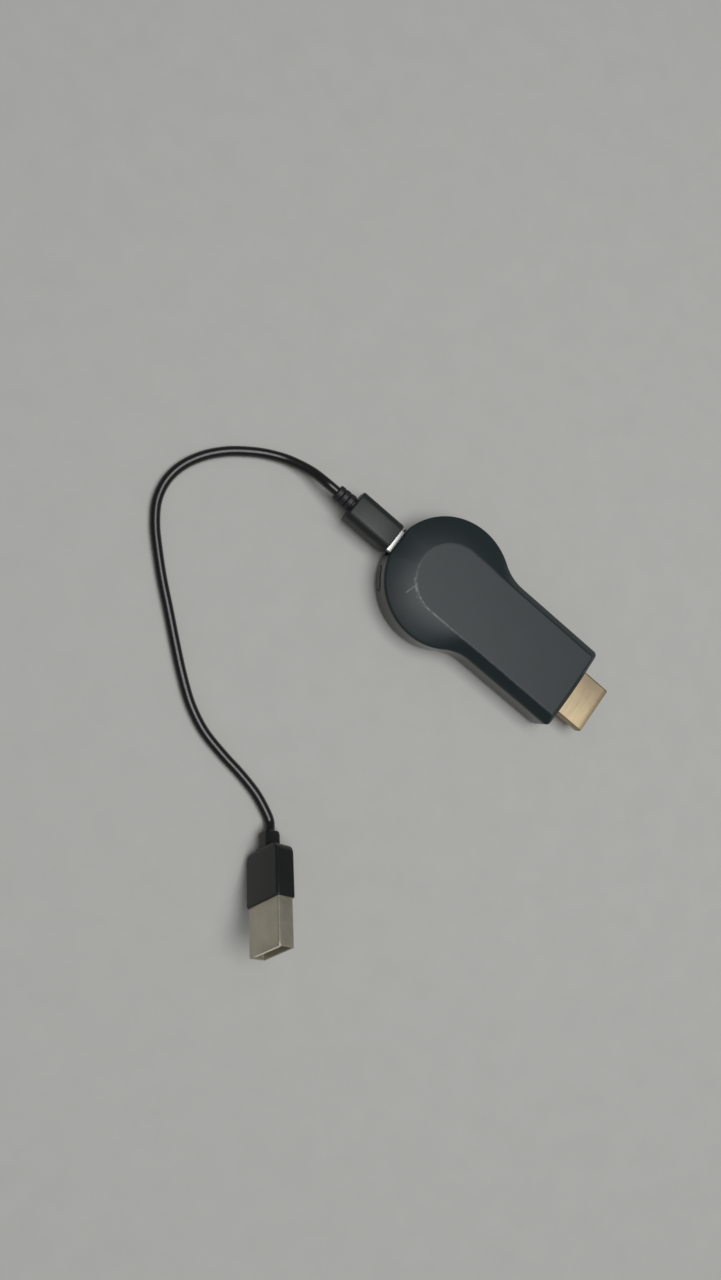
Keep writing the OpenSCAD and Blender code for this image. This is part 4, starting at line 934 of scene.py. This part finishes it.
ends = [(run - L_GRIP, shoulder_width(run) - (less if run > L_SHOULDER else 0), L_GRIP_H - 2 * less, L_BEVEL)
        for run, less in L_RUNS]
large_grip = solid("large_plug_grip", bar(ends, 0.25), LARGE)
large_outer = rounded(box(L_SHELL_W, L_SHELL_H), 0.5)
cut(large_grip, solid("shell_room", skin([across(large_outer, x) for x in (L_SHELL_BACK, 1)]), LARGE))
large_pvc = finish("PVC, overmoulded, near black", "#0F1111", 0.4, grain=0.3, depth=0.006)
dress(large_grip, large_pvc, "cable", "host_grip_plastic", "host_grip", sharp=25)

ends = [(-L_GRIP - run, w, h, bevel) for run, w, h, bevel in COLLAR_RUNS]
collar = solid("large_plug_collar", bar(ends, 0.3), LARGE)
dress(collar, large_pvc, "cable", "host_grip_plastic", "host_collar", sharp=25)

# %% [markdown]
# The large shell is nickel over steel, used for years: soft brushing lines along it, and a warm
# grey film that is uneven. The film is broad noise that mixes a second, browner grey.

# %% Large plug: shell
large_inner = rounded(box(L_SHELL_W - 2 * L_SHELL_T, L_SHELL_H - 2 * L_SHELL_T), 0.25)
large_shell = solid("large_plug_shell", tube_of_sheet(large_outer, large_inner, L_SHELL_BACK, L_SHELL, 0.2),
                    LARGE)
cut(large_shell, *latch_windows(L_SHELL - 5.2, 2.6, 2.2, 2.2, 0.25, -2.6, -1.8, LARGE))
worn_nickel = finish("Steel sheet, nickel plated, worn", "#C7C0B1", 0.42, grain=0.35, depth=0.003,
                     metallic=0.85, stretch=(0.12, 1, 1), wander=0.25, second="#AEA896")
dress(large_shell, worn_nickel, "cable", "host_metal", "host_shell")

# %% [markdown]
# ## Pieces that stay as CAD made them
# Chips, cans, springs and insulators already have their true shapes. They only need finishes.
# The board is glass-epoxy under green solder mask. Copper tracks below the mask show as
# lighter lines. Straight bands of a wave texture, broken up by cells, give that look
# without drawing a real circuit.

# %% Finish of the board
board = finish("Glass-epoxy board with green solder mask", "#1D5C36", 0.35, grain=0.3, depth=0.003,
               Coat_Weight=0.3)
tree = board.node_tree
place = add(tree, "ShaderNodeTexCoord", out="Object")
cells = add(tree, "ShaderNodeTexVoronoi", {"Vector": place, "Scale": 1 / (6 * MM)}, "Color",
            distance="CHEBYCHEV")
turned = add(tree, "ShaderNodeVectorMath", {0: place, 1: cells}, operation="ADD")
tracks = add(tree, "ShaderNodeTexWave", {"Vector": turned, "Scale": 1 / (7 * MM)}, "Fac",
             bands_direction="DIAGONAL")
tracks = add(tree, "ShaderNodeMapRange", {"Value": tracks, "From Min": 0.55, "From Max": 0.6})
mix_in(tree, tracks, "#2F7A4B", 0.3)
print("nodes in the board's finish:", len(tree.nodes))

# %% [markdown]
# Moulded insulators and chip packages are matt with a fine grain. Tinned and rolled sheet have
# long soft lines, and pads, ferrite and ceramic are duller still. Each row below is one
# finish and the pieces that have it.

# %% Finishes on the CAD pieces
INSIDE = (
    (board, "main_board"),
    (contact_gold, "socket_contacts", "plug_contacts", "host_contacts"),
    (finish("Steel sheet, tinned", "#BDBEBF", 0.35, grain=0.4, depth=0.003, metallic=1.0,
            stretch=(1, 0.1, 1)), "shield_can", "radio_module", "crystal", "socket_shell"),
    (finish("Aluminium sheet, rolled", "#C6C7C9", 0.38, grain=0.3, depth=0.003, metallic=1.0,
            stretch=(0.1, 1, 1)), "heat_spreader"),
    (finish("Brass strip, bright", "#D8BC7A", 0.28, grain=0.3, depth=0.002, metallic=1.0), "radio_antenna"),
    (finish("Epoxy, moulded, chip package", "#232426", 0.55, grain=0.12, depth=0.003),
     "processor", "memory_chip", "flash_chip"),
    (finish("Silicone, thermal pad", "#8FA2BC", 0.7, grain=0.5, depth=0.01), "chip_pads", "can_pad"),
    (finish("Ferrite, sintered", "#4B4C4E", 0.6, grain=0.2, depth=0.006), "power_coils"),
    (finish("Ceramic, fired, capacitor", "#B39B74", 0.45, grain=0.15, depth=0.002), "capacitors"),
    (finish("Glass-filled LCP, moulded black", "#171718", 0.5, grain=0.2, depth=0.004),
     "video_insulator", "socket_insulator", "plug_insulator"),
    (finish("Glass-filled LCP, moulded white", "#D5D2C8", 0.5, grain=0.2, depth=0.004), "host_insulator"),
    (finish("Nylon, moulded, switch", "#28282A", 0.5, grain=0.2, depth=0.004), "switch_body"),
    (finish("Nylon, moulded, natural", "#DAD9D2", 0.5, grain=0.2, depth=0.004), "switch_plunger"),
    (finish("Epoxy resin, cast, lamp", "#EFEEDC", 0.3, grain=0.2, depth=0.002, Subsurface_Weight=0.2),
     "status_led"))
for material, *names in INSIDE:
    for name in names:
        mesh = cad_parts[name].data
        mesh.materials.clear()
        mesh.materials.append(material)
print("CAD pieces with a finish:", sum(len(row) - 1 for row in INSIDE))

# %% [markdown]
# ## Table and light
# A plain pale table carries everything. One soft square lamp hangs right overhead, as a ceiling
# lamp does: the shadows lie close under the pieces, and the flat top and the slopes that face
# the camera mirror it. The room is dim and even, so the slopes that face away stay dark.

# %% Table
REACH = 2500
corners = [(-REACH, -REACH), (REACH, -REACH), (REACH, REACH), (-REACH, REACH)]
floor = solid("table", (level(corners, 0), [(0, 1, 2, 3)]))
table_paint = finish("Matt paper, pale grey", "#B7B7B3", 0.85, grain=0.6, depth=0.004, wander=0.02)
floor.data.materials.append(table_paint)
print("table, m:", 2 * REACH * MM)

# %% Lamp and room
LAMP_SIZE, LAMP_PLACE, LAMP_POWER, ROOM_LIGHT = 0.62, (0.07, 0.02, 0.9), 6.2, 0.18
lamp_data = bpy.data.lights.new("overhead_softbox", "AREA")
lamp_data.shape = "RECTANGLE"
lamp_data.size, lamp_data.size_y = LAMP_SIZE, LAMP_SIZE
lamp_data.energy = LAMP_POWER
lamp = bpy.data.objects.new("overhead_softbox", lamp_data)
bpy.context.scene.collection.objects.link(lamp)
lamp.location = LAMP_PLACE

world = bpy.data.worlds.new("dim_room")
world.use_nodes = True
sky = world.node_tree.nodes["Background"]
sky.inputs["Color"].default_value = linear("#E9EBEE")
sky.inputs["Strength"].default_value = ROOM_LIGHT
bpy.context.scene.world = world
bpy.context.scene.view_settings.view_transform = "Standard"
print("lamp, W:", LAMP_POWER)
